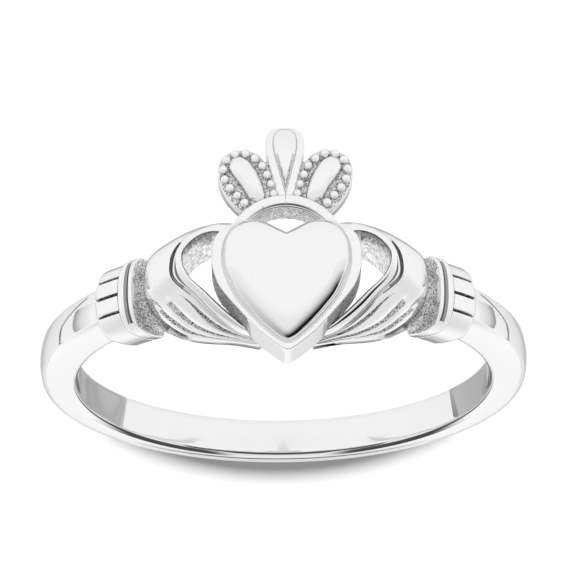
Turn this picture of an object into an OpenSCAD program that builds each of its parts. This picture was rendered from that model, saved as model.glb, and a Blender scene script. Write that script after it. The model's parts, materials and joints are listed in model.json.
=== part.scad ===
// Claddagh ring: two cuffed hands hold a crowned heart on a plain tapered band.
// Cast in one piece of white precious metal. Millimetres.
// The ring is drawn upright in its own frame first: the axis of the finger hole is Z,
// the head faces -Y and the crown points to +Z. At the end it is laid down on its side,
// where it rests on the tip of the crown and on the back of the band.
// A level is a distance from the axis towards -Y, and a lift is a height above the finger hole.

/* [Finger hole] */
// Inside diameter, a US size 7
bore_d = 17.3; // [15:0.1:21]
// Softened edge between the finger hole and the sides of the band
bore_soft = 0.14; // [0.05:0.01:0.25]

/* [Band] */
// Width of the band along the finger
band_w = 1.75; // [1.4:0.05:2.2]
// Thickness at the back of the finger
band_back_t = 1.1; // [0.9:0.05:1.8]
// Thickness where the band runs into the cuffs
band_head_t = 1.95; // [1.6:0.05:2.2]
// Rise of the low dome across the outside of the band
band_crown = 0.17; // [0.05:0.01:0.3]

/* [Cuffs] */
// Distance from the middle of the ring to the collar
collar_x = 6.14; // [5.9:0.02:6.6]
// Length of the plain collar along the band
collar_len = 0.62; // [0.45:0.01:0.9]
// Lift of the collar above the finger hole
collar_lift = 2.3; // [2.2:0.05:2.7]
// Width of the collar along the finger
collar_w = 2.9; // [2.6:0.02:3.3]
// Length of the pleated cuff along the band
cuff_len = 0.92; // [0.7:0.01:1.3]
// Lift of the pleated cuff above the finger hole
cuff_lift = 2.16; // [2.05:0.02:2.25]
// Width of the pleated cuff along the finger
cuff_w = 2.8; // [2.4:0.02:3.1]
// Number of grooves between the pleats
cuff_grooves = 3; // [1:1:5]
// Width of a groove
groove_w = 0.11; // [0.06:0.01:0.16]
// Depth of a groove
groove_d = 0.22; // [0.1:0.01:0.3]
// Lift of the sunk neck between collar and hand
neck_lift = 1.75; // [1.5:0.05:2]
// Width of the neck along the finger
neck_w = 2.0; // [1.5:0.05:2.2]
// Radius of the corners at the outer end of a cuff
cuff_corner = 0.5; // [0.3:0.05:0.6]

/* [Hands] */
// Distance from the middle of the ring to the wrist
hand_reach = 5.65; // [5.4:0.05:5.8]
// Half of the height of a hand along the finger
hand_half = 2.0; // [1.8:0.05:2.2]
// Lift of the highest line of a hand above the finger hole
hand_rise = 2.9; // [2.7:0.05:3.1]
// Depth of the groove beside the thumb
thumb_groove = 0.1; // [0.04:0.01:0.16]
// Depth of the grooves between the fingers
finger_groove = 0.15; // [0.05:0.01:0.2]

/* [Heart] */
// Width of the heart
heart_w = 5.88; // [5.6:0.02:6.1]
// Radius of the two lobes
heart_lobe_r = 1.56; // [1.45:0.01:1.65]
// Radius of the sides below the lobes
heart_side_r = 2.9; // [2.7:0.05:3.1]
// Turn of the sides before they run straight to the tip
heart_side_turn = 46; // [44:0.5:48]
// Radius of the rounded tip
heart_tip_r = 0.4; // [0.2:0.05:0.5]
// Height of the lobes' centres above the middle of the band
heart_mid = 0.44; // [0.34:0.02:0.5]
// Gap between the finger hole and the back of the heart
heart_gap = 0.9; // [0.75:0.05:1]
// Thickness of the heart's plate at its rim
heart_t = 1.65; // [1.5:0.05:2]
// Width of the flat rim round the raised heart
heart_rim = 0.4; // [0.25:0.01:0.55]
// Rise of the raised heart above the rim
heart_rise = 0.72; // [0.5:0.02:0.9]

/* [Crown] */
// Outer radius of the arch that carries the crown
arch_r = 2.35; // [2.25:0.01:2.5]
// Width of the arch
arch_w = 0.36; // [0.25:0.01:0.5]
// Height of the arch's centre above the middle of the band
arch_mid = 0.86; // [0.76:0.02:0.96]
// Level of the back of the crown, above the finger hole
crown_gap = 1.1; // [1:0.02:1.2]
// Thickness of the crown's plates
crown_t = 0.78; // [0.6:0.02:0.9]
// Thickness of the arch, the part behind the crown's plates included
arch_t = 1.45; // [1.2:0.05:1.6]
// Top of the middle petal, above the middle of the band
crown_top = 6.31; // [6:0.01:6.6]
// Radius of the middle petal's plate
petal_mid_r = 0.76; // [0.65:0.01:0.8]
// Radius of the line of beads round a side petal
petal_side_r = 0.76; // [0.7:0.01:0.8]
// Margin of a side petal's plate outside its line of beads
bead_margin = 0.25; // [0.2:0.01:0.3]
// Diameter of a bead
bead_d = 0.37; // [0.24:0.01:0.38]
// Number of beads round a side petal
bead_count = 13; // [9:1:14]
// Radius of the smooth leaf in the middle petal
leaf_mid_r = 0.52; // [0.4:0.01:0.6]
// Radius of the smooth leaf in a side petal
leaf_side_r = 0.46; // [0.35:0.01:0.5]
// Height of the shared ground that joins the three petals
ground_top = 4.75; // [4.2:0.05:5]

/* [Hidden] */
$fn = 96;

bore_r = bore_d / 2;
// A cut or a buried face runs this far past what it meets
over = 0.3;
// Pieces of one casting run this many degrees into each other
sunk_a = 1.6;

// The outside of the band is a circle set off towards the head, so that the band tapers
band_r = bore_r + (band_back_t + band_head_t) / 2;
band_shift = (band_head_t - band_back_t) / 2;
band_edge_r = band_r - band_crown;

// Angles from the middle of the head at which the pieces of the cuffs start and end
function side_angle(x, lift) = asin(x / (bore_r + lift));
wrist_a = side_angle(hand_reach, neck_lift);
collar_a = side_angle(collar_x, collar_lift);
collar_end_a = side_angle(collar_x + collar_len, collar_lift);
cuff_end_a = side_angle(collar_x + collar_len + cuff_len, cuff_lift);
// The outer end of a cuff leans a little from the line to the middle of the ring
cuff_end_lean = 12;
// The width of a cuff at the finger hole, as a share of its full width
neck_taper = 0.9;
collar_taper = 0.84;
cuff_taper = 0.9;
// Rounding of the long edges of a cuff, and the bow of its outer face
cuff_round = 0.42;
cuff_bow = 0.03;
collar_corner = cuff_corner * 0.8;
// The grooves lie a little further apart than an even division of the cuff
groove_spread = 1.07;

heart_back = bore_r + heart_gap;
heart_face = heart_back + heart_t;
heart_top = heart_face + heart_rise;
// The raised heart is the top of a ball with its middle below the lobes
heart_dome_r = 6;
heart_dome_z = heart_mid - 0.95;

crown_back = bore_r + crown_gap;
crown_face = crown_back + crown_t;
// The arch stands proud of the petals' plates, and ends behind the heart's lobes
arch_proud = 0.27;
arch_face = crown_face + arch_proud;
arch_back = arch_face - arch_t;
arch_half_a = 75;

bead_r = bead_d / 2;
// A bead's middle lies this share of its radius above the plate, and a leaf's middle below it
bead_proud = 0.25;
bead_level = crown_face + bead_r * bead_proud;
leaf_sunk = 0.14;
leaf_level = crown_face - leaf_sunk;
// The ground between the petals is a little thinner than their plates on both sides
ground_face = crown_face - 0.1;
ground_back = crown_back + 0.06;

// Outline of the heart, drawn in x and z and drawn in by the distance d.
function arc(cx, cy, r, a0, a1, n) =
    [for (i = [0:n]) let (a = a0 + (a1 - a0) * i / n) [cx + r * cos(a), cy + r * sin(a)]];
heart_notch_a = 120;
function heart_tip_z(r) =
    heart_mid - ((heart_w / 2 - heart_side_r) * cos(heart_side_turn) + heart_side_r - r)
    / sin(heart_side_turn);
function heart_notch_z(d) =
    ((heart_w / 2 - heart_lobe_r) * cos(heart_notch_a) + heart_mid * sin(heart_notch_a)
    + heart_lobe_r - d) / sin(heart_notch_a);
function heart_half(d) = concat(
    [[0, heart_notch_z(d)]],
    arc(heart_w / 2 - heart_lobe_r, heart_mid, heart_lobe_r - d, heart_notch_a, 0, 14),
    arc(heart_w / 2 - heart_side_r, heart_mid, heart_side_r - d, -4, -heart_side_turn, 8),
    d < heart_tip_r
        ? arc(0, heart_tip_z(heart_tip_r), heart_tip_r - d, -heart_side_turn, -90, 4)
        : [[0, heart_tip_z(d)]]);
function flip_x(points) = [for (i = [len(points) - 2:-1:1]) [-points[i][0], points[i][1]]];
function heart_points(d) = let (h = heart_half(d)) concat(h, flip_x(h));

// A petal's outline: an arc round c, and straight sides from the arc to two points of its foot.
full_turn = 360;
function turn_to(c, r, p, side) =
    let (v = p - c) atan2(v[1], v[0]) + side * acos(r / norm(v));
function petal_points(c, r, foot_a, foot_b) =
    let (a0 = turn_to(c, r, foot_a, 1), a1 = turn_to(c, r, foot_b, -1))
    concat([foot_a], arc(c[0], c[1], r, a0, a1 < a0 ? a1 + full_turn : a1, 20), [foot_b]);

// Middles and feet of the petals and their leaves, in x and z. The feet stand in the arch.
arch_top = arch_mid + arch_r;
petal_mid_c = [0, crown_top - petal_mid_r];
petal_mid_foot = [0.32, arch_top - 0.15];
petal_side_x = 1.72;
petal_side_drop = 2.01;
petal_side_c = [petal_side_x, crown_top - petal_side_drop];
petal_side_foot_out = [1.62, arch_top - 0.36];
petal_side_foot_in = [0.46, arch_top];
plate_foot_out = [0.8, -0.6] * bead_margin;
plate_foot_in = [-0.8, -0.2] * bead_margin;
leaf_side_c = petal_side_c + [0, 0.1];
leaf_side_foot = [1.02, arch_top - 0.31];
leaf_side_foot_r = 0.24;
leaf_mid_c = petal_mid_c;
leaf_mid_foot = [0, arch_top - 0.2];
leaf_mid_foot_r = 0.08;
ground_half_top = 0.84;
ground_half_foot = 1.3;
ground_foot = arch_top - arch_w * 0.75;

// The point at distance s along the line of beads of the right petal
function bead_path() =
    let (
        a0 = turn_to(petal_side_c, petal_side_r, petal_side_foot_out, 1),
        a1 = turn_to(petal_side_c, petal_side_r, petal_side_foot_in, -1),
        a1_up = a1 < a0 ? a1 + full_turn : a1
    ) concat([petal_side_foot_out],
        arc(petal_side_c[0], petal_side_c[1], petal_side_r, a0, a1_up, 24),
        [petal_side_foot_in]);
function path_len(p, i = 1) = i >= len(p) ? 0 : norm(p[i] - p[i - 1]) + path_len(p, i + 1);
function path_at(p, s, i = 1) =
    let (step = norm(p[i] - p[i - 1]))
    s <= step || i == len(p) - 1
        ? p[i - 1] + (p[i] - p[i - 1]) * min(1, s / step)
        : path_at(p, s - step, i + 1);

// The right hand is a fan of sections from the opening beside the heart to its outer edge.
// They run from the heart's shoulder round the wrist to the fingertips under the heart.
// x counts 0 at the middle of the ring, 1 at the side of the heart and 2 at the wrist.
// z is a share of hand_half, and the lifts are shares of hand_rise.
// Columns: inner x, inner z, inner lift, outer x, outer z, outer lift
hand_sections = [
    [0.77, 0.7, 0.88, 0.52, 0.97, 0.72],
    [0.92, 0.79, 0.93, 0.79, 1.06, 0.74],
    [1.09, 0.765, 0.97, 0.98, 1.05, 0.77],
    [1.24, 0.67, 1.0, 1.25, 0.99, 0.78],
    [1.35, 0.525, 1.0, 1.52, 0.875, 0.76],
    [1.42, 0.4, 1.0, 1.79, 0.7, 0.73],
    [1.43, 0.29, 1.0, 1.97, 0.5, 0.68],
    [1.42, 0.16, 0.99, 2.00, 0.05, 0.74],
    [1.38, 0.04, 0.96, 1.97, -0.25, 0.71],
    [1.33, -0.075, 0.93, 1.82, -0.49, 0.42],
    [1.24, -0.2, 0.88, 1.69, -0.58, 0.2],
    [1.11, -0.335, 0.81, 1.52, -0.725, 0.15],
    [0.99, -0.485, 0.73, 1.33, -0.88, 0.16],
    [0.85, -0.665, 0.64, 1.13, -0.965, 0.16],
    [0.71, -0.825, 0.56, 0.94, -1.03, 0.14],
    [0.58, -1.0, 0.48, 0.75, -1.085, 0.14],
    [0.42, -1.15, 0.42, 0.51, -1.21, 0.15],
    [0.31, -1.25, 0.39, 0.36, -1.29, 0.18]];

// Lines across the hand, as turns round its rounded section: 0 is the opening, 1 the outer edge.
// A line moves from its first place to its second between the sections lines_from and lines_to.
// Columns: place on the wrist, place on the fingers, kind: 1 the thumb's groove, 2 a finger's
hand_lines = [
    [0.00, 0.00, 0.0],
    [0.15, 0.34, 0.0],
    [0.20, 0.40, 1.0],
    [0.28, 0.46, 0.0],
    [0.40, 0.50, 0.0],
    [0.45, 0.60, 2.0],
    [0.50, 0.66, 0.0],
    [0.60, 0.74, 0.0],
    [0.655, 0.80, 2.0],
    [0.70, 0.84, 0.0],
    [0.79, 0.89, 0.0],
    [0.84, 0.93, 2.0],
    [0.88, 0.96, 0.0],
    [1.00, 1.00, 0.0]];

// The sections are joined smoothly, and steps of them are drawn between two rows of the table.
hand_steps = 2;
// Sections, counted from the heart's shoulder, between which the grooves deepen or end
lines_from = 8;
lines_to = 14;
thumb_from = 2;
thumb_full = 5;
thumb_until = 12;
thumb_end = 16;
fingers_from = 9;
fingers_full = 11;
// Roundness of a hand's section: 1 is an ellipse, more is boxier
hand_bulge = 1.18;
hand_back = sqrt(bore_r * bore_r - hand_reach * hand_reach) - over;
function blend(a, b, c, d, t) =
    0.5 * (2 * b + (c - a) * t + (2 * a - 5 * b + 4 * c - d) * t * t
    + (3 * b - a - 3 * c + d) * t * t * t);
function hand_section(u) =
    let (last = len(hand_sections) - 1, i = min(floor(u), last - 1), t = u - i)
    blend(hand_sections[max(i - 1, 0)], hand_sections[i], hand_sections[i + 1],
        hand_sections[min(i + 2, last)], t);
function ease(a, b, u) = let (t = max(0, min(1, (u - a) / (b - a)))) t * t * (3 - 2 * t);
function line_depth(kind, u) =
    kind == 1 ? thumb_groove * ease(thumb_from, thumb_full, u) * (1 - ease(thumb_until, thumb_end, u))
    : kind == 2 ? finger_groove * ease(fingers_from, fingers_full, u) : 0;
function hand_x(share) =
    let (heart_half_w = heart_w / 2)
    share < 1 ? share * heart_half_w
        : heart_half_w + (share - 1) * (hand_reach - heart_half_w);
function hand_point(u, line) =
    let (
        s = hand_section(u),
        w = line[0] + (line[1] - line[0]) * ease(lines_from, lines_to, u),
        across = pow(sin(90 * w), hand_bulge),
        down = pow(max(0, cos(90 * w)), hand_bulge),
        x = hand_x(s[0]) + (hand_x(s[3]) - hand_x(s[0])) * across,
        z = hand_half * (s[1] + (s[4] - s[1]) * across),
        lift = hand_rise * (s[5] + (s[2] - s[5]) * down) - line_depth(line[2], u)
    ) [x, -sqrt(pow(bore_r + lift, 2) - x * x), z];

// Turns the drawing plane to face -Y and fills it between two levels
module relief(from, to) {
    rotate([90, 0, 0])
        translate([0, 0, from])
            linear_extrude(to - from)
                children();
}

// Turns a profile of radius and height round the axis, from one angle to another on the right
module sweep_side(a0, a1) {
    rotate([0, 0, a0 - 90])
        rotate_extrude(angle = a1 - a0)
            children();
}

module both_sides() {
    children();
    mirror([1, 0, 0]) children();
}

module band_profile() {
    rise = [for (i = [-4:4]) [band_edge_r + band_crown * (1 - pow(i / 4, 2)), i / 4 * band_w / 2]];
    inner = bore_r - band_shift - over;
    polygon(concat([[inner, -band_w / 2]], rise, [[inner, band_w / 2]]));
}

module band() {
    color("gainsboro")
        difference() {
            translate([0, -band_shift, 0])
                rotate([0, 0, wrist_a - 90])
                    rotate_extrude(angle = full_turn - 2 * wrist_a)
                        band_profile();
            for (side = [0, 1])
                mirror([0, 0, side])
                    translate([0, 0, band_w / 2 - bore_soft])
                        cylinder(r1 = bore_r, r2 = bore_r + 2 * bore_soft, h = 2 * bore_soft);
        }
}

// The section of a cuff, narrower towards the finger and round at its outer corners
module cuff_profile(w, lift, taper) {
    inner_w = w * taper;
    outer = bore_r + lift;
    top = arc(outer - cuff_round, w / 2 - cuff_round, cuff_round, 90, 8, 5);
    bottom = [for (i = [len(top) - 1:-1:0]) [top[i][0], -top[i][1]]];
    polygon(concat([[bore_r - over, inner_w / 2]], top, [[outer + cuff_bow, 0]], bottom,
        [[bore_r - over, -inner_w / 2]]));
}

module neck() {
    color("darkgray")
        sweep_side(wrist_a - sunk_a, collar_a + sunk_a)
            cuff_profile(neck_w, neck_lift, neck_taper);
}

// Keeps what lies before the rounded outer end of a cuff, which ends at the angle a
module up_to_end(a, lift, lean, w, corner) {
    x1 = (bore_r + lift) * sin(lean);
    x0 = x1 - w * 2;
    half = w / 2 + over / 10;
    intersection() {
        children();
        rotate([0, 0, a - lean])
            relief(0, 2 * bore_r)
                polygon(concat([[x0, -half]],
                    arc(x1 - corner, corner - half, corner, -90, 0, 6),
                    arc(x1 - corner, half - corner, corner, 0, 90, 6),
                    [[x0, half]]));
    }
}

module collar() {
    color("whitesmoke")
        up_to_end(collar_end_a, collar_lift, 0, collar_w, collar_corner)
            sweep_side(collar_a, collar_end_a + sunk_a)
                cuff_profile(collar_w, collar_lift, collar_taper);
}

module pleated_cuff() {
    end_r = bore_r + cuff_lift;
    color("gainsboro")
        difference() {
            up_to_end(cuff_end_a, cuff_lift, cuff_end_lean, cuff_w, cuff_corner)
                sweep_side(collar_end_a - sunk_a, cuff_end_a + cuff_end_lean)
                    cuff_profile(cuff_w, cuff_lift, cuff_taper);
            for (i = [1:cuff_grooves])
                translate([0, 0, cuff_w * (i / (cuff_grooves + 1) - 0.5) * groove_spread])
                    sweep_side(collar_end_a - 2 * sunk_a, cuff_end_a + cuff_end_lean + sunk_a)
                        translate([end_r - groove_d, -groove_w / 2])
                            square([groove_d + over, groove_w]);
        }
}

module hand() {
    rows = hand_steps * (len(hand_sections) - 1);
    n = len(hand_lines);
    front = [for (i = [0:rows], line = hand_lines) hand_point(i / hand_steps, line)];
    back = [for (p = front) [p[0], -hand_back, p[2]]];
    m = len(front);
    grid = [for (i = [0:rows - 1], j = [0:n - 2]) let (k = i * n + j)
        each [[k, k + 1, k + n], [k + 1, k + n + 1, k + n]]];
    rim = concat([for (j = [0:n - 2]) j], [for (i = [0:rows - 1]) i * n + n - 1],
        [for (j = [n - 1:-1:1]) rows * n + j], [for (i = [rows:-1:1]) i * n]);
    wall = [for (i = [0:len(rim) - 1]) let (a = rim[i], b = rim[(i + 1) % len(rim)])
        each [[b, a, a + m], [b, a + m, b + m]]];
    lid = [for (f = grid) [f[2] + m, f[1] + m, f[0] + m]];
    color("whitesmoke")
        polyhedron(concat(front, back), concat(grid, wall, lid));
}

module heart() {
    color("white") {
        relief(heart_back, heart_face)
            polygon(heart_points(0));
        intersection() {
            relief(heart_face - over, heart_top + over)
                polygon(heart_points(heart_rim));
            translate([0, heart_dome_r - heart_top, heart_dome_z])
                sphere(r = heart_dome_r);
        }
    }
}

module arch() {
    a0 = 90 - arch_half_a;
    a1 = 90 + arch_half_a;
    color("whitesmoke")
        relief(arch_back, arch_face)
            polygon(concat(arc(0, arch_mid, arch_r, a0, a1, 24),
                arc(0, arch_mid, arch_r - arch_w, a1, a0, 24)));
}

// The plate that joins the feet of the three petals
module crown_ground() {
    color("darkgray")
        relief(ground_back, ground_face)
            polygon([[ground_half_top, ground_top], [-ground_half_top, ground_top],
                [-ground_half_foot, ground_foot - arch_w], [0, ground_foot],
                [ground_half_foot, ground_foot - arch_w]]);
}

// A smooth leaf: round at its head c and tapering to its foot, half sunk in the plate
module leaf(c, r, foot, foot_r) {
    v = foot - c;
    len = norm(v);
    half_a = asin((r - foot_r) / len);
    head = arc(0, 0, r, 90, -half_a, 10);
    translate([c[0], -leaf_level, c[1]])
        rotate([0, 90 - atan2(v[1], v[0]), 0])
            rotate_extrude()
                polygon(concat([for (p = head) [abs(p[0]), -p[1]]], [[foot_r, len], [0, len]]));
}

module middle_petal() {
    color("gainsboro")
        relief(crown_back, crown_face)
            polygon(petal_points(petal_mid_c, petal_mid_r,
                petal_mid_foot, [-petal_mid_foot[0], petal_mid_foot[1]]));
    color("white")
        leaf(leaf_mid_c, leaf_mid_r, leaf_mid_foot, leaf_mid_foot_r);
}

module side_petal() {
    path = bead_path();
    step = path_len(path) / (bead_count - 1);
    color("gainsboro")
        relief(crown_back, crown_face)
            polygon(petal_points(petal_side_c, petal_side_r + bead_margin,
                petal_side_foot_out + plate_foot_out, petal_side_foot_in + plate_foot_in));
    color("white")
        leaf(leaf_side_c, leaf_side_r, leaf_side_foot, leaf_side_foot_r);
    color("white")
        for (i = [0:bead_count - 1]) {
            p = path_at(path, i * step);
            translate([p[0], -bead_level, p[1]])
                sphere(r = bead_r, $fn = 24);
        }
}

module upright_ring() {
    difference() {
        union() {
            band();
            both_sides() {
                neck();
                collar();
                pleated_cuff();
                hand();
                side_petal();
            }
            heart();
            arch();
            crown_ground();
            middle_petal();
        }
        cylinder(r = bore_r, h = 4 * crown_top, center = true);
    }
}

// The angle at which the ring lies with the crown's tip and the back of the band on the surface
rest_tilt = atan((crown_top - band_w / 2)
    / (crown_back + band_edge_r - band_shift));

module claddagh_ring() {
    rotate([-rest_tilt, 0, 0])
        rotate([0, 180, 0])
            upright_ring();
}

claddagh_ring();
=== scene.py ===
# %% [markdown]
# # A claddagh ring
#
# A finger ring cast in one piece of white precious metal. Two cuffed hands hold a heart, and a
# small crown of three petals stands on the heart. The band is plain.
#
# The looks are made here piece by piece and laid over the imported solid. Every piece is drawn
# upright in millimetres first: the finger hole's axis is Z, the head faces -Y, the crown points
# to +Z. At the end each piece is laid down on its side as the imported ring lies.

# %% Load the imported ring
import json
import math

import bmesh
import bpy
import numpy as np
from mathutils import Matrix, Vector


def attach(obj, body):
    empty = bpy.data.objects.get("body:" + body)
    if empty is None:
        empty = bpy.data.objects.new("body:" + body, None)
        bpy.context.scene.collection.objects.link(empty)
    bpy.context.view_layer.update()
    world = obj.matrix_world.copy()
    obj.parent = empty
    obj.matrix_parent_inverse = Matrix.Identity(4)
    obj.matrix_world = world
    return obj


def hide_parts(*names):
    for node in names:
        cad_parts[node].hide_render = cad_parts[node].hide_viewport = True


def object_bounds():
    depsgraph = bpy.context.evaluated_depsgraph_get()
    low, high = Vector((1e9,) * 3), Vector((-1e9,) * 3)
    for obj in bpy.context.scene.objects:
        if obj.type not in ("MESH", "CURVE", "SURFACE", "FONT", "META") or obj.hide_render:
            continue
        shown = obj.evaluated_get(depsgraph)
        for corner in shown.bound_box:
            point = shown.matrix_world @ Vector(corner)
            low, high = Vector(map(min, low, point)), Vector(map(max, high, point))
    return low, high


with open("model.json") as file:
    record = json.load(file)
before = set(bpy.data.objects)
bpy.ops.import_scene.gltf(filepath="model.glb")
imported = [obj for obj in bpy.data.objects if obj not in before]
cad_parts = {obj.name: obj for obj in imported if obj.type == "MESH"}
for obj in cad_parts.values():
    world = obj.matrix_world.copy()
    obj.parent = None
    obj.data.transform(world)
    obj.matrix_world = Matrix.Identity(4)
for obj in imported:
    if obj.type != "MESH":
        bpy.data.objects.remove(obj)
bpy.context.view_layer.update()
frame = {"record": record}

# %% [markdown]
# ## Sizes and the way the ring lies
#
# The finger hole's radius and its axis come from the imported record, so the looks follow it.
# The other sizes were read from the photograph in millimetres. A level is a distance from the
# axis towards -Y, the side of the head.

# %% Named sizes
MM = 0.001
mount = frame["record"]["mounts"][0]
BORE_R = mount["dims"]["r_mm"]
LEAN = math.atan2(mount["axis"][1], mount["axis"][2])
LAY_TURN = Matrix.Rotation(-LEAN, 4, "X") @ Matrix.Rotation(math.pi, 4, "Y")
LAY_DOWN = Matrix.Scale(MM, 4) @ LAY_TURN

BAND_W = 1.75
BAND_EDGE_R = 10.005
BAND_SHIFT = 0.425
BAND_DOME = 0.15
BAND_SOFT = 0.21
BAND_TUCK = 0.05

HEART_BACK = 9.55
HEART_FACE = 11.2
CROWN_BACK = 9.75
CROWN_FACE = 10.53
ARCH_FACE = 10.8
ARCH_BACK = 9.35
ARCH_MID = 0.86

# Pieces that share the wall of the finger hole end this much apart, so no two walls coincide
WALL_STEP = 0.003
print("finger hole radius", BORE_R, "mm, lean", round(math.degrees(LEAN), 2), "degrees")

# %% [markdown]
# ## Small tools
#
# `smooth_line` runs a curve through points that were read from the photograph. `drawn_in` moves
# an outline inwards, which rounds an edge as a caster's file does. `loft` joins closed rings of
# points into a solid. `put` and `calc` write a node tree in few lines.

# %% Tools for points
def blend4(a, b, c, d, t):
    """A point on the smooth curve from b to c, where a and d are their neighbours."""
    bend = (2 * a - 5 * b + 4 * c - d) * t * t + (3 * b - a - 3 * c + d) * t ** 3
    return 0.5 * (2 * b + (c - a) * t + bend)


def smooth_line(points, count, closed=False):
    """Even points along a smooth curve through the given ones."""
    p = np.array(points, float)
    n = len(p)
    if closed:
        ends = np.vstack([p[-1:], p, p[:2]])
    else:
        ends = np.vstack([2 * p[:1] - p[1:2], p, 2 * p[-1:] - p[-2:-1]])
    spans = n if closed else n - 1
    fine = []
    for i in range(spans):
        for t in np.linspace(0, 1, 16, endpoint=False):
            fine.append(blend4(ends[i], ends[i + 1], ends[i + 2], ends[i + 3], t))
    fine.append(p[0] if closed else p[-1])
    fine = np.array(fine)
    run = np.concatenate([[0], np.cumsum(np.linalg.norm(np.diff(fine, axis=0), axis=1))])
    stops = np.linspace(0, run[-1], count + 1 if closed else count)
    if closed:
        stops = stops[:-1]
    return np.stack([np.interp(stops, run, fine[:, k]) for k in range(fine.shape[1])], 1)


def ease(a, b, x):
    """0 before a, 1 after b, and a soft step between."""
    t = np.clip((x - a) / (b - a), 0, 1)
    return t * t * (3 - 2 * t)


def drawn_in(outline, depth):
    """The closed outline moved inwards by a depth. It runs anticlockwise."""
    ahead = np.roll(outline, -1, axis=0) - outline
    ahead /= np.linalg.norm(ahead, axis=1, keepdims=True)
    behind = np.roll(ahead, 1, axis=0)
    along = ahead + behind
    along /= np.linalg.norm(along, axis=1, keepdims=True)
    inward = np.stack([-along[:, 1], along[:, 0]], 1)
    return outline + inward * depth


def at_level(outline, level):
    """Points in x and z, given a level each."""
    return np.stack([outline[:, 0], -np.broadcast_to(level, len(outline)), outline[:, 1]], 1)


def loft(rings, first_cap=True, last_cap=True):
    """Points and faces of a solid through closed rings with equal numbers of points."""
    n = len(rings[0])
    points = np.vstack(rings)
    faces = []
    for r in range(len(rings) - 1):
        for k in range(n):
            m = (k + 1) % n
            faces.append((r * n + k, r * n + m, (r + 1) * n + m, (r + 1) * n + k))
    for wanted, start in ((first_cap, 0), (last_cap, (len(rings) - 1) * n)):
        if wanted:
            centre = points[start:start + n].mean(axis=0)
            points = np.vstack([points, centre])
            mid = len(points) - 1
            faces += [(start + k, start + (k + 1) % n, mid) for k in range(n)]
    return points, faces


def middle_of(points, face):
    """The middle of one face."""
    return points[list(face)].mean(axis=0)


# The two sides of the ring: what is drawn for the right one is mirrored for the left one
SIDES = {"right": np.array([1.0, 1.0, 1.0]), "left": np.array([-1.0, 1.0, 1.0])}
print("sides", list(SIDES))


# %% Tools for meshes
def new_mesh(name, points, faces, materials=()):
    """A plain mesh from points and faces, with its materials."""
    mesh = bpy.data.meshes.new(name)
    mesh.from_pydata([tuple(p) for p in points], [], faces)
    for material in materials:
        mesh.materials.append(material)
    return mesh


def finished_piece(name, mesh, crease, merge=0.0):
    """An object whose faces point outwards and are smooth but for the creases."""
    form = bmesh.new()
    form.from_mesh(mesh)
    if merge:
        bmesh.ops.remove_doubles(form, verts=form.verts, dist=merge)
    bmesh.ops.recalc_face_normals(form, faces=form.faces)
    form.to_mesh(mesh)
    form.free()
    mesh.polygons.foreach_set("use_smooth", [True] * len(mesh.polygons))
    mesh.set_sharp_from_angle(angle=math.radians(crease))
    piece = bpy.data.objects.new(name, mesh)
    bpy.context.scene.collection.objects.link(piece)
    return piece


def make_piece(name, points, faces, materials, face_kinds=None, crease=35):
    """A piece from points and faces. A face's kind is its place in the list of materials."""
    mesh = new_mesh(name, points, faces, materials)
    if face_kinds is not None:
        mesh.polygons.foreach_set("material_index", face_kinds)
    return finished_piece(name, mesh, crease)


finished = []


def hand_in(piece):
    """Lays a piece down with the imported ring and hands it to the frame."""
    piece.data.transform(LAY_DOWN)
    piece.data.update()
    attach(piece, "root")
    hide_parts("claddagh_ring")
    finished.append(piece.name)
    print(piece.name, len(piece.data.polygons), "faces")


print("pieces handed in so far:", len(finished))


# %% Tools for node trees
def put(tree, kind, settings=None, inputs=None):
    """Adds a node. An input given as another node's output is linked, a plain value is set."""
    node = tree.nodes.new(kind)
    for key, value in (settings or {}).items():
        setattr(node, key, value)
    for key, value in (inputs or {}).items():
        if isinstance(value, bpy.types.NodeSocket):
            tree.links.new(value, node.inputs[key])
        else:
            node.inputs[key].default_value = value
    return node


def calc(tree, operation, *values):
    """One step of arithmetic between node outputs and numbers."""
    return put(tree, "ShaderNodeMath", {"operation": operation}, dict(enumerate(values))).outputs[0]


def vector_calc(tree, operation, *values):
    """One step of arithmetic with vectors."""
    return put(tree, "ShaderNodeVectorMath", {"operation": operation}, dict(enumerate(values)))


def soft_step(tree, value, start, end, first=0.0, last=1.0):
    """A soft change from first to last while a value goes from start to end."""
    return put(tree, "ShaderNodeMapRange", {"interpolation_type": "SMOOTHSTEP"}, {
        "Value": value, "From Min": start, "From Max": end, "To Min": first,
        "To Max": last}).outputs[0]


GEOMETRY, MATERIAL = "NodeSocketGeometry", "NodeSocketMaterial"
SOCKETS = {float: "NodeSocketFloat", int: "NodeSocketInt", tuple: "NodeSocketVector"}
print("a node group takes", sorted(kind.__name__ for kind in SOCKETS))


def new_tree(name, kind, inputs, outputs):
    """An empty node group and its two end nodes. An input is a socket's kind or a plain value."""
    tree = bpy.data.node_groups.new(name, kind)
    for label, value in inputs.items():
        given = not isinstance(value, str)
        socket = SOCKETS[type(value)] if given else value
        made = tree.interface.new_socket(label, in_out="INPUT", socket_type=socket)
        if given:
            made.default_value = value
    for label, socket in outputs.items():
        tree.interface.new_socket(label, in_out="OUTPUT", socket_type=socket)
    return tree, tree.nodes.new("NodeGroupInput").outputs, tree.nodes.new("NodeGroupOutput").inputs


# %% Tools for Geometry Nodes
def seen_from_axis(tree):
    """A point's x, y and z, its distance from the finger hole's axis, and its way outwards."""
    here = put(tree, "GeometryNodeInputPosition").outputs[0]
    flat = vector_calc(tree, "MULTIPLY", here, (1.0, 1.0, 0.0)).outputs[0]
    parts = put(tree, "ShaderNodeSeparateXYZ", {}, {0: here}).outputs
    far = vector_calc(tree, "LENGTH", flat).outputs["Value"]
    return parts, far, vector_calc(tree, "NORMALIZE", flat).outputs[0]


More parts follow.
